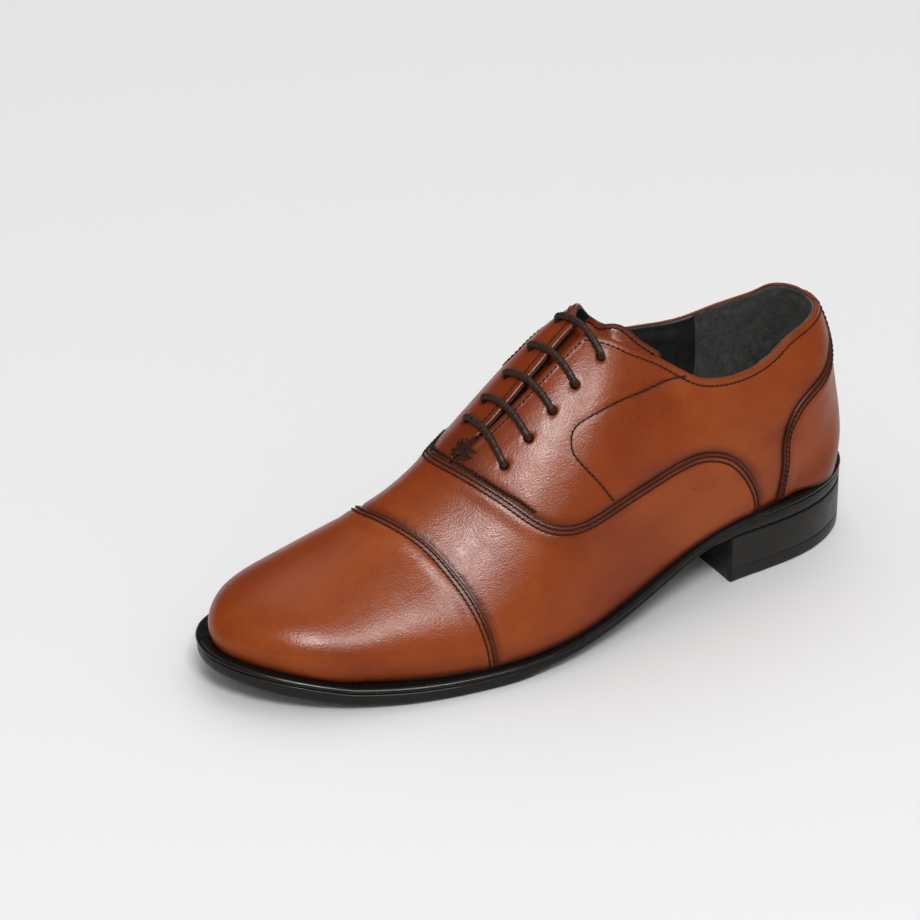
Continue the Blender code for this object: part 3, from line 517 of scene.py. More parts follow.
def calf_leather():
    """Smooth burnished calf: mottled tan, darker where the marks say, with a fine tight grain. The
    darkening is burnish, and painted shade at the seams' cut edges.
    """
    n = Nodes("cognac_calf")
    patches = n.noise(14, 4, 0.55, distortion=0.5)
    streaks = n.noise(55, 4, 0.6, stretch=(1, 0.45, 1))
    specks = n.noise(900, 2, 0.6)
    deep, mid, light = (0.13, 0.0175, 0.0035), (0.225, 0.0355, 0.006), (0.315, 0.062, 0.0095)
    colour = n.mix(n.ramp(patches, 0.36, 0.66), mid, light)
    colour = n.mix(n.ramp(streaks, 0.45, 0.75, 0, 0.3), colour, deep)
    colour = n.mix(n.ramp(specks, 0.35, 0.7, 0, 0.1), colour, deep)
    burnish_shade_amount = n.mark("burnish_and_shade")
    ragged = n.math("ADD", burnish_shade_amount, n.ramp(streaks, 0.3, 0.7, -0.08, 0.08))
    # Brown burnish, and near-black at the mark's peaks: at the seams' cut edges that is painted shade.
    colour = n.mix(n.ramp(ragged, 0.09, 0.5, 0, 0.75), colour, (0.075, 0.012, 0.0045))
    colour = n.mix(n.ramp(ragged, 0.55, 1.0, 0, 0.9), colour, (0.014, 0.0055, 0.004))
    rough = n.math("ADD", n.ramp(n.noise(220, 3), 0.3, 0.7, 0.27, 0.35), n.ramp(burnish_shade_amount, 0, 1, 0, 0.08))
    grain = n.math("MULTIPLY", n.cells(1600, stretch=(1, 0.6, 1)), 0.8)
    grain = n.math("ADD", grain, n.math("MULTIPLY", n.noise(3000, 2), 0.45))
    normal = n.bump(grain, 0.00014, 0.6)
    crease = n.noise(150, 3, 0.5, stretch=(1, 0.35, 0.7), distortion=0.8)
    normal = n.bump(n.ramp(crease, 0.3, 0.7), 0.0003, 0.16, normal)
    return n.finish(colour, rough, normal, Specular_IOR_Level=0.16)


def lining_leather():
    n = Nodes("black_lining")
    colour = n.mix(n.noise(90, 3), (0.0065, 0.006, 0.0055), (0.014, 0.013, 0.012))
    grain = n.math("ADD", n.cells(1100), n.noise(1800, 2))
    rough = n.ramp(n.noise(180, 2), 0.3, 0.7, 0.5, 0.62)
    return n.finish(colour, rough, n.bump(grain, 0.00012, 0.4), Specular_IOR_Level=0.35)


def suede():
    n = Nodes("heel_suede")
    tufts = n.noise(420, 5, 0.75, distortion=0.6)
    brushed = n.noise(110, 4, 0.65, distortion=0.5)
    both = n.math("ADD", n.math("MULTIPLY", tufts, 0.6), n.math("MULTIPLY", brushed, 0.4))
    colour = n.mix(n.ramp(both, 0.38, 0.62), (0.007, 0.0075, 0.006), (0.075, 0.078, 0.066))
    return n.finish(colour, 0.95, n.bump(both, 0.0011, 0.9), Specular_IOR_Level=0.2, Sheen_Weight=0.25,
                    Sheen_Roughness=0.5)


def rubber(name, colour, rough, grain):
    n = Nodes(name)
    shade = n.mix(n.noise(120, 3), colour, tuple(c * 1.5 for c in colour))
    finer = n.math("ADD", n.noise(700, 3), n.noise(2400, 2))
    roughness = n.ramp(n.noise(160, 3), 0.3, 0.7, rough - 0.04, rough + 0.08)
    return n.finish(shade, roughness, n.bump(finer, 0.0001, grain), Specular_IOR_Level=0.2)


def thread(name, colour):
    n = Nodes(name)
    shade = n.mix(n.noise(900, 2), colour, tuple(c * 1.8 for c in colour))
    return n.finish(shade, 0.55, n.bump(n.noise(4000, 2), 0.0001, 0.3), Specular_IOR_Level=0.06)


def braid():
    """The lace: the strands' own relief is in the mesh, and its mark paints shade into the grooves between
    them.
    """
    n = Nodes("waxed_braid")
    relief = n.mark("braid")
    # Painted shade: the grooves between the strands are darker.
    shade = n.mix(n.ramp(relief, 0.1, 0.9), (0.006, 0.0032, 0.0024), (0.05, 0.026, 0.018))
    shade = n.mix(n.ramp(n.noise(500, 3), 0.35, 0.7, 0, 0.4), shade, (0.014, 0.0075, 0.005))
    return n.finish(shade, 0.5, n.bump(n.noise(5000, 2), 0.0001, 0.35), Specular_IOR_Level=0.12)


def plain(name, colour, rough, spread=0.3, scale=300, bump=0.2, metallic=0.0):
    """The pieces that are hidden inside the shoe: one colour, a little mottled."""
    n = Nodes(name)
    shade = n.mix(n.noise(scale, 4, 0.6), tuple(c * (1 - spread) for c in colour),
                  tuple(min(1, c * (1 + spread)) for c in colour))
    return n.finish(shade, rough, n.bump(n.noise(scale * 4, 3), 0.0002, bump), Metallic=metallic)


def floor_material():
    n = Nodes("pale_floor")
    return n.finish((0.8, 0.8, 0.8), 0.9, Specular_IOR_Level=0.0)


# ---- the upper ----

def circle_on_last(s, t, radius, count=20):
    """A round hole's rim in the flat pattern."""
    along = (last_point(s + 0.02, t) - last_point(s - 0.02, t)) / 0.04
    round_it = (last_point(s, t + 0.01) - last_point(s, t - 0.01)) / 0.02
    first = along / np.linalg.norm(along)
    second = np.cross(last_normal(s, t), first)
    turn = 2 * np.pi * (np.arange(count + 1) % count) / count
    ring = radius * (np.outer(np.cos(turn), first) + np.outer(np.sin(turn), second))
    back = np.linalg.pinv(np.stack([along, round_it], -1))
    return (np.array((s, t)) + ring @ back.T) * (1, T_SCALE)


class Pattern:
    """All the seams, and the dense triangles of the whole upper."""

    def __init__(self):
        top = smooth(TOPLINE)
        slot = smooth(SLOT)
        self.seams = {"cap": smooth(CAP_SEAM), "vamp": smooth(VAMP_SEAM)}
        for name, side in (("outer", 1), ("inner", -1)):
            self.seams["counter_" + name] = smooth(COUNTER_SEAM) * (1, side)
        self.seams["opening"] = np.r_[top, (slot * (1, -1))[::-1][1:], slot, top[:1]]
        # 1 if the overlaying piece lies to the left of its seam, -1 if it lies to the right.
        self.over = {}
        for name, place in (("cap", (5.0, 0)), ("vamp", (6.3, 0)), ("counter_outer", (14.4, 2.0)),
                            ("counter_inner", (14.4, -2.0))):
            self.over[name] = left_is(place, self.seams[name])
        lines = list(self.seams.values())
        for name, sign in self.over.items():
            for mm in (0.3, 0.8, SEAM_ROWS[0], 2.6, SEAM_ROWS[1], LAP, 6.0, -0.4, -1.2):
                lines.append(by_mm(self.seams[name], sign * mm))
            self.seams[name + "_lap"] = by_mm(self.seams[name], sign * LAP)
        away = left_is((10, 4.0), self.seams["opening"])
        for mm in (0.35, 0.9, 2.2, 3.2, 4.4):
            lines.append(by_mm(self.seams["opening"], away * mm))
        for name, line in (("lining", LINING_SEAM), ("grip", GRIP_SEAM)):
            self.seams[name] = smooth(both_sides(line))
            lines.append(self.seams[name])
        self.bores = [circle_on_last(s, t, HOLE_RADIUS) for s, t in HOLES]
        self.lay_triangles(lines)
        self.measure_gaps()
        self.covered = self.covered_vertices()

    def lay_triangles(self, lines):
        """Triangles over the whole pattern, with every line among their edges."""
        edge = T_SCALE
        rims = [circle_on_last(s, t, radius) for s, t in HOLES for radius in (2.0, 2.5)]
        corners = np.array([(0, -edge), (SECTIONS, -edge), (SECTIONS, edge), (0, edge), (0, -edge)], float)
        border = np.concatenate([np.linspace(a, b, 180) for a, b in zip(corners[:-1], corners[1:])])
        kept = [np.clip(line, (0, -edge), (SECTIONS, edge)) for line in lines]
        kept += self.bores + rims + [border]
        grid_s = np.arange(FINE / 2, SECTIONS, FINE)
        grid_t = np.arange(-edge + FINE / 2, edge, FINE)
        s, t = np.meshgrid(grid_s, grid_t, indexing="ij")
        t = t + (np.arange(len(grid_s)) % 2 * FINE / 2 - FINE / 4)[:, None]
        grid = far_from(np.c_[s.ravel(), t.ravel()], kept, FINE * 0.5)
        self.flat, self.faces = triangulate(grid, kept)
        self.mid = self.flat[self.faces].mean(axis=1)
        self.base = on_last(self.flat, 0)
        self.normal = last_normal(self.flat[:, 0], self.flat[:, 1] / T_SCALE)

    def measure_gaps(self):
        """The distance from each vertex to each seam, stitch line, hole and free edge."""
        gap = {}
        for name in ("cap", "vamp", "counter_outer", "counter_inner", "opening", "grip"):
            gap[name] = distance_to(self.base, dense(self.seams[name]))
        gap["counter"] = np.minimum(gap["counter_outer"], gap["counter_inner"])
        facing = [distance_to(self.base, dense(smooth(FACING_STITCH) * (1, side))) for side in (1, -1)]
        gap["facing"] = np.minimum(*facing)
        rims = [on_last(circle_on_last(s, t, HOLE_RADIUS, 60), 0) for s, t in HOLES]
        gap["bore"] = distance_to(self.base, np.concatenate(rims))
        feather = []
        for t in (T_SCALE, -T_SCALE):
            feather.append(dense(np.c_[np.linspace(0, SECTIONS, 300), np.full(300, t)]))
        for s in (0.0, float(SECTIONS)):
            feather.append(dense(np.c_[np.full(200, s), np.linspace(-T_SCALE, T_SCALE, 200)]))
        gap["feather"] = distance_to(self.base, np.concatenate(feather))
        self.gap = gap

    def behind_counter(self, suffix="", margin=0.0):
        """The outline of the pattern behind the two counter seams."""
        inner = self.seams["counter_inner" + suffix]
        outer = self.seams["counter_outer" + suffix]
        return np.r_[closed(inner, BEYOND_HEEL, margin), outer[::-1]]

    def regions(self):
        """Which triangles each piece takes."""
        lies_in = lambda outline: inside(self.mid, outline)
        ahead = lambda name: lies_in(closed(self.seams[name], BEYOND_TOE))
        behind = lambda name: lies_in(closed(self.seams[name], BEYOND_HEEL))
        opening = lies_in(self.seams["opening"])
        bores = np.zeros(len(self.mid), bool)
        for bore in self.bores:
            bores |= lies_in(bore)
        outer = self.mid[:, 1] > 0
        quarters = behind("vamp_lap") & ~lies_in(self.behind_counter("_lap")) & ~opening & ~bores
        return {
            "toe_cap": ahead("cap"),
            "vamp": ~ahead("cap_lap") & ~behind("vamp"),
            "quarter_lateral": quarters & outer,
            "quarter_medial": quarters & ~outer,
            "heel_counter_cover": lies_in(self.behind_counter()) & ~opening,
            "between": ~ahead("lining") & ahead("grip") & ~opening & ~bores,
            "grip": ~ahead("grip") & ~opening,
            "outer": outer,
        }

    def covered_vertices(self):
        """Which vertices lie under each seam's overlaying piece."""
        return {
            "cap": inside(self.flat, closed(self.seams["cap"], BEYOND_TOE, 1)),
            "vamp": ~inside(self.flat, closed(self.seams["vamp"], BEYOND_HEEL, 1)),
            "counter": inside(self.flat, self.behind_counter(margin=1)),
        }

    def burnish_and_shade(self, opened=True):
        """How dark the leather is painted: burnish along the seams, at the sole and round the holes, and
        painted shade in the narrow dark line at each seam's cut edge.
        """
        gap = self.gap
        s, t = self.flat[:, 0], self.flat[:, 1]
        shades = [
            0.3 * bell(gap["facing"], 1.2),
            0.5 * bell(gap["bore"], 1.0),
            0.8 * bell(gap["feather"], 2.0) + 0.2 * bell(gap["feather"], 12),
            0.5 * np.exp(-((s - 6.75) / 0.25) ** 2 - (t / 1.3) ** 2),
            0.2 * step_up(s, 13.0, 15.5),
        ]
        # The narrow peak at each seam is painted shade at the cut edge; the wider bells are burnish.
        for name, wide in (("cap", 0.12), ("vamp", 0.13), ("counter", 0.15)):
            shades += [0.85 * bell(gap[name], 1.1), 0.42 * bell(gap[name], 4.0), wide * bell(gap[name], 12)]
        if opened:
            shades.append(0.32 * bell(gap["opening"], 2.6))
        return np.clip(np.max(shades, axis=0), 0, 1)

    def heights(self, over, under, opened=True):
        """A piece's face: raised where it laps over, rolled at its cut edge, dimpled by stitches."""
        face = np.zeros(len(self.flat))
        for name in over:
            d = self.gap[name]
            face += 0.5 * (1 - step_up(d, 4.6, 10.0)) - 0.5 * turned_in(d, 0.8)
            for row in SEAM_ROWS:
                face -= 0.28 * bell(d - row, 0.6)
        for name in under:
            face -= np.where(self.covered[name], 0.55, 0.55 * (1 - step_up(self.gap[name], 0.2, 2.5)))
        if not opened:
            return face
        d = self.gap["opening"]
        face += 0.25 * (1 - step_up(d, 2.6, 4.2)) - 0.6 * turned_in(d, 0.9)
        face -= 0.22 * bell(d - TOPLINE_ROW, 0.55)
        face -= 0.25 * bell(self.gap["facing"], 0.7) + 0.45 * turned_in(self.gap["bore"], 0.9)
        return face


def make_upper(pattern, materials):
    regions = pattern.regions()
    placed = lambda height: pattern.base + pattern.normal * height[:, None]

    def piece(name, over, under, opened=True):
        face = pattern.heights(over, under, opened)
        back = np.full(len(face), -LEATHER)
        for key in over:
            back += 0.7 * (1 - step_up(pattern.gap[key], 4.5, 8.0))
        back = np.minimum(back, face - 0.35)
        shell("upper_" + name, pattern.faces[regions[name]], placed(back), placed(face), materials["calf"],
              marks={"burnish_and_shade": pattern.burnish_and_shade(opened)}, node=name, angle=52)

    piece("toe_cap", ["cap"], [], False)
    piece("vamp", ["vamp"], ["cap"], False)
    piece("quarter_lateral", [], ["vamp", "counter"])
    piece("quarter_medial", [], ["vamp", "counter"])
    piece("heel_counter_cover", ["counter"], [])

    # The linings come closer to the leather at the opening, where both are sewn together.
    d = pattern.gap["opening"]
    out = -2.8 + 1.5 * (1 - step_up(d, 2.0, 8.0)) - 0.25 * (1 - step_up(d, 0, 0.8))
    into = -3.8 + 1.2 * (1 - step_up(d, 1.0, 8.0)) + 0.5 * turned_in(d, 0.8)
    into += 0.25 * bell(pattern.gap["grip"], 0.8)
    between, outer = regions["between"], regions["outer"]
    for name, region, node, stuff in (
        ("lining_lateral", between & outer, "quarter_lining_lateral", "lining"),
        ("lining_medial", between & ~outer, "quarter_lining_medial", "lining"),
        ("heel_grip", regions["grip"], "heel_grip_lining", "suede"),
    ):
        shell(name, pattern.faces[region], placed(into), placed(out), materials[stuff], node=node,
              angle=60)


# ---- stitching ----

def stitch_row(points, normals, pitch=2.3, radius=0.36, slant=0.16, lift=0.12):
    """A row of lockstitches lying on the surface: each dives in at both ends and leans a little."""
    length = arc(points)
    count = max(1, int(length[-1] / pitch))
    parts = []
    for k in range(count):
        at = (k + np.array([0.05, 0.2, 0.5, 0.8, 0.95])) * length[-1] / count
        centre = sample(points, length, at)
        up = sample(normals, length, at)
        up /= np.linalg.norm(up, axis=1, keepdims=True)
        ahead = centre[-1] - centre[0]
        ahead /= np.linalg.norm(ahead)
        across = np.cross(up[2], ahead)
        centre = centre + up * (np.array([-0.25, 0.06, 0.16, 0.06, -0.25]) + lift)[:, None]
        centre += across * (np.linspace(-1, 1, 5) * slant)[:, None]
        parts.append(tube_mesh(centre, [radius * r for r in (0.7, 1, 1.08, 1, 0.7)], 6))
    return join(parts)


def stitched(line, height, **more):
    """The stitches along a pattern line, at this height over the surface."""
    points = dense(line, height, 0.5)
    length = arc(on_last(line, height))
    normals = last_normal(line[:, 0], line[:, 1] / T_SCALE)
    normals = sample(normals, length, np.linspace(0, length[-1], len(points)))
    return stitch_row(points, normals, **more)


def make_stitches(pattern, material):
    seams = pattern.seams
    rows = {"cap": [], "vamp": [], "counter": [], "topline": [], "facing": [], "throat": []}

    def add(group, line, height, **more):
        line = line[np.abs(line[:, 1]) < T_SCALE - 0.02]
        line = line[(line[:, 0] > 0) & (line[:, 0] < SECTIONS)]
        rows[group].append(stitched(line, height, **more))

    for name, sign in pattern.over.items():
        for mm in SEAM_ROWS:
            add(name.split("_")[0], by_mm(seams[name], sign * mm), 0.4)
    top = smooth(TOPLINE)
    add("topline", by_mm(top, left_is((10, 4.0), top) * TOPLINE_ROW)[2:-2], -0.1)
    slot = smooth(SLOT)
    slot = slot[slot[:, 0] > 7.05]
    for side in (1, -1):
        line = slot * (1, side)
        away = left_is((8, side * 2.0), line)
        add("facing", by_mm(line, away * 2.9)[:-1], -0.05)
        add("facing", smooth(FACING_STITCH) * (1, side), -0.1)
    add_throat(pattern, add)
    for group, parts in rows.items():
        mesh_object("stitches_" + group, *join(parts), material)


def add_throat(pattern, add):
    """The third row at the throat is short and a little uneven, and a bar tack crosses the slot's foot."""
    rng = np.random.default_rng(7)
    seam = pattern.seams["vamp"]
    seam = seam[np.abs(seam[:, 1]) < 2.3]
    third = by_mm(seam, -pattern.over["vamp"] * 1.9)
    wander = np.convolve(rng.normal(0, 1, len(third) + 8), np.ones(9) / 9, "valid") * 0.03
    third = third + wander[:, None] * (1, 0.4)
    add("throat", third, 0.0, pitch=1.7, radius=0.46, slant=0.6, lift=0.25)
    for k in range(12):
        s = 6.66 + 0.019 * k + rng.uniform(-0.01, 0.01)
        wide = rng.uniform(0.2, 0.42)
        tilt = np.linspace(-0.035, 0.035, 9) * (-1) ** k
        line = np.c_[np.full(9, s) + tilt, np.linspace(-wide, wide, 9) + rng.uniform(-0.06, 0.1)]
        add("throat", line, 0.1, pitch=12, radius=0.38, slant=0.1, lift=0.25)
    for t0 in (-0.07, -0.01, 0.06):
        line = np.c_[np.linspace(6.72, 7.02, 9), t0 + np.linspace(-0.02, 0.02, 9)]
        add("throat", line, 0.1, pitch=12, radius=0.36, slant=0.05, lift=0.3)


# ---- tongue ----

def tongue_top(s):
    """The tongue's face goes down from its sewn foot to run under the facings, and its free end rises."""
    return -4.4 - 3.8 * step_up(s, 6.8, 7.15) + 3.7 * step_up(s, 9.03, 9.4)


def make_tongue(materials):
    outline = smooth(TONGUE, 0.05)[:-1]
    ring = np.r_[outline, outline[:1]]
    sign = left_is((8.5, 0), outline)
    inner = [by_mm(outline, sign * mm) for mm in (0.4, 1.0, 2.6, 3.2)]
    grid = far_from(grid_of(np.arange(6.7, 10, FINE), np.arange(-2, 2, FINE)), [ring] + inner, FINE * 0.5)
    flat, faces = triangulate(grid, [ring] + inner)
    faces = faces[inside(flat[faces].mean(axis=1), outline)]
    top = tongue_top(flat[:, 0])
    d = distance_to(on_last(flat, -8), dense(ring, -8))
    rise = -0.5 * turned_in(d, 0.9) - 0.2 * bell(d - 2.9, 0.5)
    burnish_shade_amount = np.clip(0.5 * bell(d, 1.6) + 0.18, 0, 1)
    shell("tongue_leather", faces, on_last(flat, top - LEATHER), on_last(flat, top + rise),
          materials["calf"], marks={"burnish_and_shade": burnish_shade_amount}, body="tongue", node="tongue", angle=52)
    back = top - LEATHER - AIR
    shell("tongue_back", faces, on_last(flat, back - 0.8 + 0.35 * turned_in(d, 0.9)), on_last(flat, back),
          materials["lining"], body="tongue", node="tongue_lining", angle=52)
    edge = inner[2][inner[2][:, 0] > 8.2]
    mesh_object("stitches_tongue", *stitched(edge, tongue_top(edge[:, 0])), materials["thread"],
                body="tongue")


# ---- lace ----

def through(s, t, side, slope):
    """The lace's points from a bar down through one hole."""
    lean = side * 0.018
    near, far = s - slope * lean, s - 2 * slope * lean
    return [(far, t - 2 * lean, BAR + 0.1), (near, t - lean, BAR - 0.1), (s, t - lean * 0.2, BAR - 0.9),
            (s, t, -0.6), (s, t, -2.6), (s, t, -4.2), (s, t + lean * 0.2, UNDER + 0.8)]


def lace_route():
    """One lace in straight bars, both ends tucked under the facings."""
    outer, inner = EYELETS_OUTER, EYELETS_INNER

    def bar(number, from_outer):
        a, b = (outer[number], inner[number]) if from_outer else (inner[number], outer[number])
        side = 1 if from_outer else -1
        middle = ((a[0] + b[0]) / 2, (a[1] + b[1]) / 2, BAR + 0.15)
        slope = (b[0] - a[0]) / (b[1] - a[1])
        return through(*a, side, slope)[::-1] + [middle] + through(*b, -side, slope)

    down = UNDER
    route = [(7.53, 0.271, down), (7.85, 0.271, down), (8.17, 0.268, down), (8.37, 0.238, down)]
    route += bar(3, True)
    route += [(8.15, -0.206, down), (7.93, -0.226, down), (7.77, -0.234, down), (7.6, -0.231, down),
              (7.45, -0.212, down)]
    route += bar(1, False)
    route += [(7.5, 0.206, down), (7.35, 0.209, down), (7.2, 0.211, down)]
    route += bar(0, True)
    route += [(7.15, -0.172, down), (7.27, -0.152, down), (7.4, -0.145, down), (7.56, -0.15, down),
              (7.71, -0.172, down)]
    route += bar(2, False)
    route += [(8.03, 0.188, down), (8.22, 0.166, down), (8.41, 0.158, down), (8.64, 0.164, down),
              (8.86, 0.19, down)]
    route += bar(4, True)
    route += [(8.68, -0.222, down), (8.45, -0.262, down), (8.2, -0.272, down), (7.85, -0.288, down)]
    route = np.array(route, float)
    return on_last(route[:, :2] * (1, T_SCALE), route[:, 2])


def make_lace(materials):
    """The lace between its two aglets, braided of strands that cross both ways round it."""
    points = lace_route()
    length = arc(points)
    aglet = 10.0 + AIR
    first, last = aglet, length[-1] - aglet
    step = 0.3
    path = spline(length, points, np.linspace(first, last, int((last - first) / step)))
    sides = 20
    turn = 2 * np.pi * np.arange(sides) / sides
    lay = 7.0
    twist = arc(path)[:, None] * 2 * np.pi / lay
    strands = np.maximum(np.abs(np.sin(3 * turn + twist)), np.abs(np.sin(3 * turn - twist))) ** 1.5
    verts, faces = tube_mesh(path, LACE_RADIUS - 0.2 + 0.3 * strands, sides)
    mesh_object("lace", verts, faces, materials["braid"], node="shoelace",
                marks={"braid": strands.ravel()})


# ---- sole and heel ----

def feather_height(y):
    """The height of the feather edge. It goes on rising past the toe."""
    toe, heel, toe_slope = LAST[0, 0], LAST[-1, 0], 6.9 / 35.0
    base = spline(FEATHER[:, 0], FEATHER[:, 3], np.clip(y, toe, heel))
    return base + np.where(y < toe, (toe - y) * toe_slope, 0)


def bottom_height(y):
    """The underside of the sole, with the bends between its points rounded."""
    toe, heel = SOLE_BOTTOM[0, 0], SOLE_BOTTOM[-1, 0]
    rows = np.linspace(toe, heel, int(heel - toe) + 1)
    heights = np.interp(rows, SOLE_BOTTOM[:, 0], SOLE_BOTTOM[:, 1])
    reach, toe_slope = 8, 0.215
    kernel = np.hanning(2 * reach + 1)
    kernel /= kernel.sum()
    padded = np.r_[heights[0] + np.arange(reach, 0, -1) * toe_slope, heights, np.full(reach, heights[-1])]
    return np.maximum(np.interp(y, rows, np.convolve(padded, kernel, "valid")), 0)


def sole_outline():
    """The sole in plan: an even, closed curve through the points of both sides."""
    count = 420
    points = np.array([(x, y) for y, x in SOLE_OUTER] + [(x, y) for y, x in SOLE_INNER[::-1]], float)
    ring = np.r_[points[-3:], points, points[:3]]
    length = arc(ring)
    return spline(length, ring, np.linspace(length[3], length[3 + len(points)], count + 1)[:-1])


def outward(ring):
    """The direction out of a closed outline at each of its points."""
    area = np.sum(ring[:, 0] * np.roll(ring[:, 1], -1) - ring[:, 1] * np.roll(ring[:, 0], -1))
    ahead = np.roll(ring, -1, axis=0) - np.roll(ring, 1, axis=0)
    normal = np.c_[ahead[:, 1], -ahead[:, 0]] * np.sign(area)
    return normal / np.linalg.norm(normal, axis=1, keepdims=True)


def ring_faces(count, rows):
    """The faces between outlines of the same number of points, listed one after the other."""
    faces = []
    for k in range(rows - 1):
        for i in range(count):
            a, b = k * count + i, k * count + (i + 1) % count
            faces.append((a, a + count, b + count, b))
    return faces


def inset_rings(ring, away, rows):
    """The outline moved in and given a height, once for each row."""
    count = len(ring)
    return np.concatenate([np.c_[ring - away * np.broadcast_to(inset, count)[:, None],
                                 np.broadcast_to(z, count)] for inset, z in rows])


def flat_fill(ring, height, spacing=5.0):
    """Vertices and triangles inside a closed outline in plan, at the height that y gives."""
    (left, front), (right, back) = ring.min(axis=0), ring.max(axis=0)
    loop = np.r_[ring, ring[:1]]
    grid = grid_of(np.arange(left, right, spacing), np.arange(front, back, spacing))
    grid = far_from(grid[inside(grid, ring)], [loop], spacing * 0.4)
    flat, faces = triangulate(grid, [loop])
    faces = faces[inside(flat[faces].mean(axis=1), ring)]
    return np.c_[flat, height(flat[:, 1])], faces


def make_welt(ring, away, materials):
    y = ring[:, 1]
    top = feather_height(y)
    lip = 0.55 - 0.3 * step_up(y, -40, 0)
    rows = [
        (11.0, top - 3.0), (11.0, top - 0.6), (3.2, top - 0.55), (2.0, top - 0.3),
        (1.5 - lip, top + 0.02), (0.9 - lip, top - 0.12), (0.35 - lip, top - 0.55),
        (0.12 - lip, top - 1.15), (0.25 - lip, top - 1.8), (0.6, top - 2.3), (0.95, top - 2.6),
        (1.3, top - 2.9), (11.0, top - 3.0),
    ]
    mesh_object("welt_edge", inset_rings(ring, away, rows), ring_faces(len(ring), len(rows)),
                materials["edge"], node="welt", angle=40)


def make_outsole(ring, away, materials):
    y = ring[:, 1]
    top, low = feather_height(y), bottom_height(y)
    waist = step_up(y, -45, 0) * (1 - step_up(y, 58, 76))
    under = 6.0 * waist
    mid = (top - 2.8 + low) / 2
    upper_fill = ring - away * 9.0
    lower_fill = ring - away * (2.6 + under)[:, None]
    upper_height = lambda at: feather_height(at) - 2.95
    rows = [
        (9.0, upper_height(upper_fill[:, 1])), (1.25, top - 2.9), (0.75, top - 2.75), (0.4, top - 3.1),
        (0.25, mid + 0.6), (0.3 + under * 0.3, mid - 0.6 + 0.8 * waist), (0.55 + under * 0.75, low + 1.1),
        (0.95 + under * 0.9, low + 0.4), (1.7 + under, low + 0.05),
        (2.6 + under, bottom_height(lower_fill[:, 1])),
    ]
    parts = [(inset_rings(ring, away, rows), ring_faces(len(ring), len(rows))),
             flat_fill(lower_fill, bottom_height), flat_fill(upper_fill, upper_height)]
    mesh_object("outsole_edge", *join(parts), materials["sole"], node="outsole", angle=40,
                welded=True)


def make_sole(materials):
    ring = sole_outline()
    away = outward(ring)
    make_welt(ring, away, materials)
    make_outsole(ring, away, materials)
    make_heel(materials)


def heel_ring(inset):
    """The heel's outline in plan: the sole's own behind the breast, which is slightly hollow."""
    ring = sole_outline()
    ring = ring - outward(ring) * inset
    breast = lambda x: 77.0 + 0.3 * inset + 1.8 * (1 - (x / 35) ** 2)
    ring = ring[ring[:, 1] > breast(ring[:, 0])]
    start = np.argmax(np.linalg.norm(ring - np.roll(ring, 1, axis=0), axis=1))
    ring = np.roll(ring, -start, axis=0)
    length = arc(ring)
    ring = sample(ring, length, np.linspace(0, length[-1], 200))
    x = np.linspace(ring[-1, 0], ring[0, 0], 40)[1:-1]
    return np.r_[ring, np.c_[x, breast(x)]]


def block(levels):
    """A stack of outlines in plan joined up the side, with its top and bottom filled."""
    rings = [heel_ring(inset) for _, inset in levels]
    count = len(rings[0])
    sides = np.concatenate([np.c_[ring, np.full(count, z)] for ring, (z, _) in zip(rings, levels)])
    parts = [(sides, ring_faces(count, len(levels)))]
    for k in (0, -1):
        parts.append(flat_fill(rings[k], lambda y, z=levels[k][0]: np.full(len(y), z)))
    return join(parts)


def make_heel(materials):
    """The block and its top piece, each a list of heights and how far in the outline lies there."""
    for name, node, levels in (
        ("heel_stack", "heel_block", ((20.9, 3.0), (20.9, 1.0), (20.65, 0.45), (20.2, 0.35), (14, 0.45),
                                      (6.6, 0.6), (6.15, 0.75), (6.0, 1.1), (6.0, 3.0))),
        ("heel_top", "heel_top_piece", ((5.95, 3.0), (5.95, 1.05), (5.8, 0.8), (5.4, 0.66), (1.2, 0.75),
                                        (0.5, 0.9), (0.1, 1.25), (0.0, 1.7))),
    ):
        mesh_object(name, *block(levels), materials["heel"], node=node, angle=40, welded=True)


def feather_outline():
    """The feather edge in plan."""
    outer = last_point(np.linspace(0, SECTIONS, 120), 1.0)
    inner = last_point(np.linspace(0, SECTIONS, 120), -1.0)
    toe = last_point(0.0, np.linspace(0.95, -0.95, 60))
    heel = last_point(float(SECTIONS), np.linspace(-0.95, 0.95, 50))
    ring = np.r_[outer[::-1], toe, inner, heel][:, :2]
    length = arc(ring)
    return sample(ring, length, np.linspace(0, length[-1], 301)[:-1])


def make_sock(materials):
    """The sock liner, raised over the heel pad, with a rolled edge."""
    ring = feather_outline()
    away = outward(ring)
    height = lambda y: feather_height(y) + 3.2 + 1.8 * np.interp(y, (60, 77), (0, 1))
    rings = [(ring - away * inset, z)
             for inset, z in ((6.5, -0.8), (5.6, -0.75), (5.45, -0.4), (5.7, -0.1), (6.5, 0.0))]
    side = np.concatenate([np.c_[at, height(at[:, 1]) + z] for at, z in rings])
    parts = [(side, ring_faces(len(ring), len(rings)))]
    for level in (height, lambda y: height(y) - 0.8):
        parts.append(flat_fill(ring - away * 6.5, level, 4.0))
    mesh_object("sock", *join(parts), materials["lining"], node="sock_liner", angle=50,
                welded=True)


def dress_hidden(nodes, materials):
    """The CAD pieces hidden inside the shoe keep their shape and take a fitting material."""
    looks = {
        "toe_puff": "board", "heel_stiffener": "board", "insole_board": "board", "cork_filler": "cork",
        "heel_pad": "foam", "shank": "steel", "facing_stay": "tape", "eyelet": "steel",
        "heel_nail": "steel", "aglet": "plastic", "vamp_lining": "lining",
    }
    for name, obj in nodes.items():
        for start, look in looks.items():
            if name.startswith(start):
                for place in obj.material_slots:
                    place.material = materials[look][0]


# ---- floor, lights, camera ----

def direction(azimuth, elevation):
    """A unit vector away from the shoe. Azimuth 0 is towards the toe, -Y, and it turns towards +X."""
    turn, lift = math.radians(azimuth), math.radians(elevation)
    return Vector((math.sin(turn) * math.cos(lift), -math.cos(turn) * math.cos(lift), math.sin(lift)))


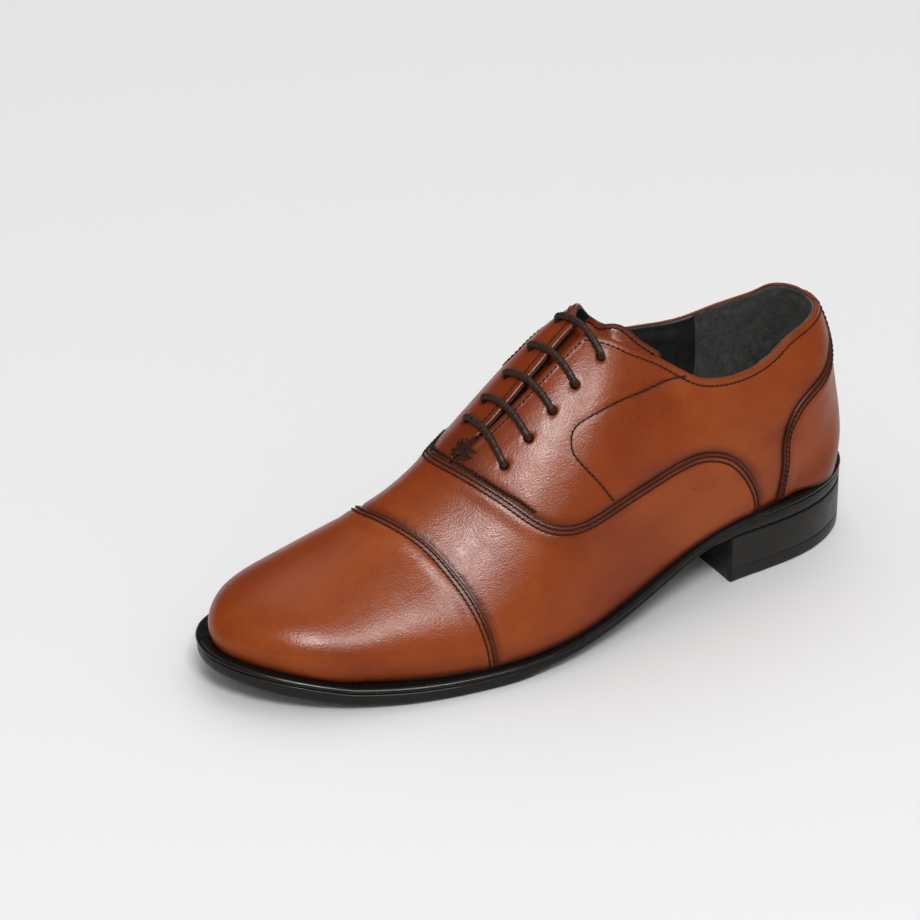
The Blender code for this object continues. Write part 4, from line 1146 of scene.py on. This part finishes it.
def aimed(name, data, ahead, place=(0, 0, 0)):
    """A lamp or camera that looks along a vector."""
    obj = bpy.data.objects.new(name, data)
    obj.location = place
    obj.rotation_mode = "QUATERNION"
    obj.rotation_quaternion = ahead.to_track_quat("-Z", "Y")
    bpy.context.scene.collection.objects.link(obj)
    return obj


def make_stage():
    mesh = bpy.data.meshes.new("floor")
    mesh.from_pydata([(-6, -6, 0), (6, -6, 0), (6, 6, 0), (-6, 6, 0)], [], [(0, 1, 2, 3)])
    mesh.materials.append(floor_material())
    floor = bpy.data.objects.new("floor", mesh)
    bpy.context.scene.collection.objects.link(floor)
    world = bpy.data.worlds.new("studio")
    world.use_nodes = True
    background = world.node_tree.nodes["Background"]
    background.inputs["Color"].default_value = (1, 1, 1, 1)
    background.inputs["Strength"].default_value = 0.535
    world.cycles_visibility.glossy = False
    bpy.context.scene.world = world
    bpy.context.scene.view_settings.view_transform = "Standard"


def make_lights():
    """A soft key, two lamps that only show as highlights on the leather, and a broad fill from behind."""
    centre = Vector((0, 0, 0.05))
    for name, azimuth, elevation, distance, size, power, lights_matt in (
        ("key", 66, 50, 3.2, 1.1, 46.0, True),
        ("gleam", 59, 54, 3.1, 0.6, 140.0, False),
        ("rim", 99, 47, 3.0, 0.5, 90.0, False),
    ):
        light = bpy.data.lights.new(name, "AREA")
        light.shape = "DISK"
        light.size = size
        light.energy = power
        away = direction(azimuth, elevation)
        aimed(name, light, -away, centre + away * distance).visible_diffuse = lights_matt
    sun = bpy.data.lights.new("behind", "SUN")
    sun.angle = math.radians(50)
    sun.energy = 0.8
    aimed("behind", sun, Vector((0.55, -0.4, -1)))


def make_camera():
    azimuth = 56.5
    back = direction(azimuth, 29.5)
    right = Vector((math.cos(math.radians(azimuth)), math.sin(math.radians(azimuth)), 0))
    up = back.cross(right)
    origin = Vector((-MIDDLE[0], -MIDDLE[1], 0)) * MM
    place = origin + back * 3.0
    aim = origin - right * 0.0293 + up * 0.0574
    data = bpy.data.cameras.new("camera")
    data.sensor_width = 36
    data.lens = 282.3
    data.clip_end = 50
    bpy.context.scene.camera = aimed("camera", data, aim - place, place)


def main():
    make_camera()
    make_stage()
    make_lights()
    leather, rubber_slot = "cognac_leather", "black_rubber"
    materials = {
        "calf": (calf_leather(), leather),
        "lining": (lining_leather(), "black_lining_leather"),
        "suede": (suede(), "dark_suede"),
        "edge": (rubber("sole_edge", (0.008, 0.007, 0.006), 0.28, 0.08), rubber_slot),
        "sole": (rubber("outsole_rubber", (0.009, 0.008, 0.007), 0.38, 0.16), rubber_slot),
        "heel": (rubber("heel_rubber", (0.013, 0.0115, 0.01), 0.36, 0.14), rubber_slot),
        "thread": (thread("dark_thread", (0.026, 0.0085, 0.005)), leather),
        "braid": (braid(), "waxed_cotton"),
    }
    for key, name, colour, rough, *more in (
        ("board", "board", (0.33, 0.23, 0.14), 0.85),
        ("cork", "cork_fill", (0.38, 0.24, 0.12), 0.9, 0.45, 500),
        ("foam", "foam_pad", (0.6, 0.55, 0.45), 0.9),
        ("steel", "steel_bits", (0.45, 0.45, 0.46), 0.32, 0.1, 200, 0.05, 1.0),
        ("tape", "tape_stay", (0.05, 0.045, 0.04), 0.85),
        ("plastic", "aglet_sleeve", (0.02, 0.016, 0.012), 0.35),
    ):
        materials[key] = (plain(name, colour, rough, *more), None)
    pattern = Pattern()
    make_upper(pattern, materials)
    make_stitches(pattern, materials["thread"])
    make_tongue(materials)
    make_lace(materials)
    make_sole(materials)
    make_sock(materials)
    dress_hidden(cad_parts, materials)


main()
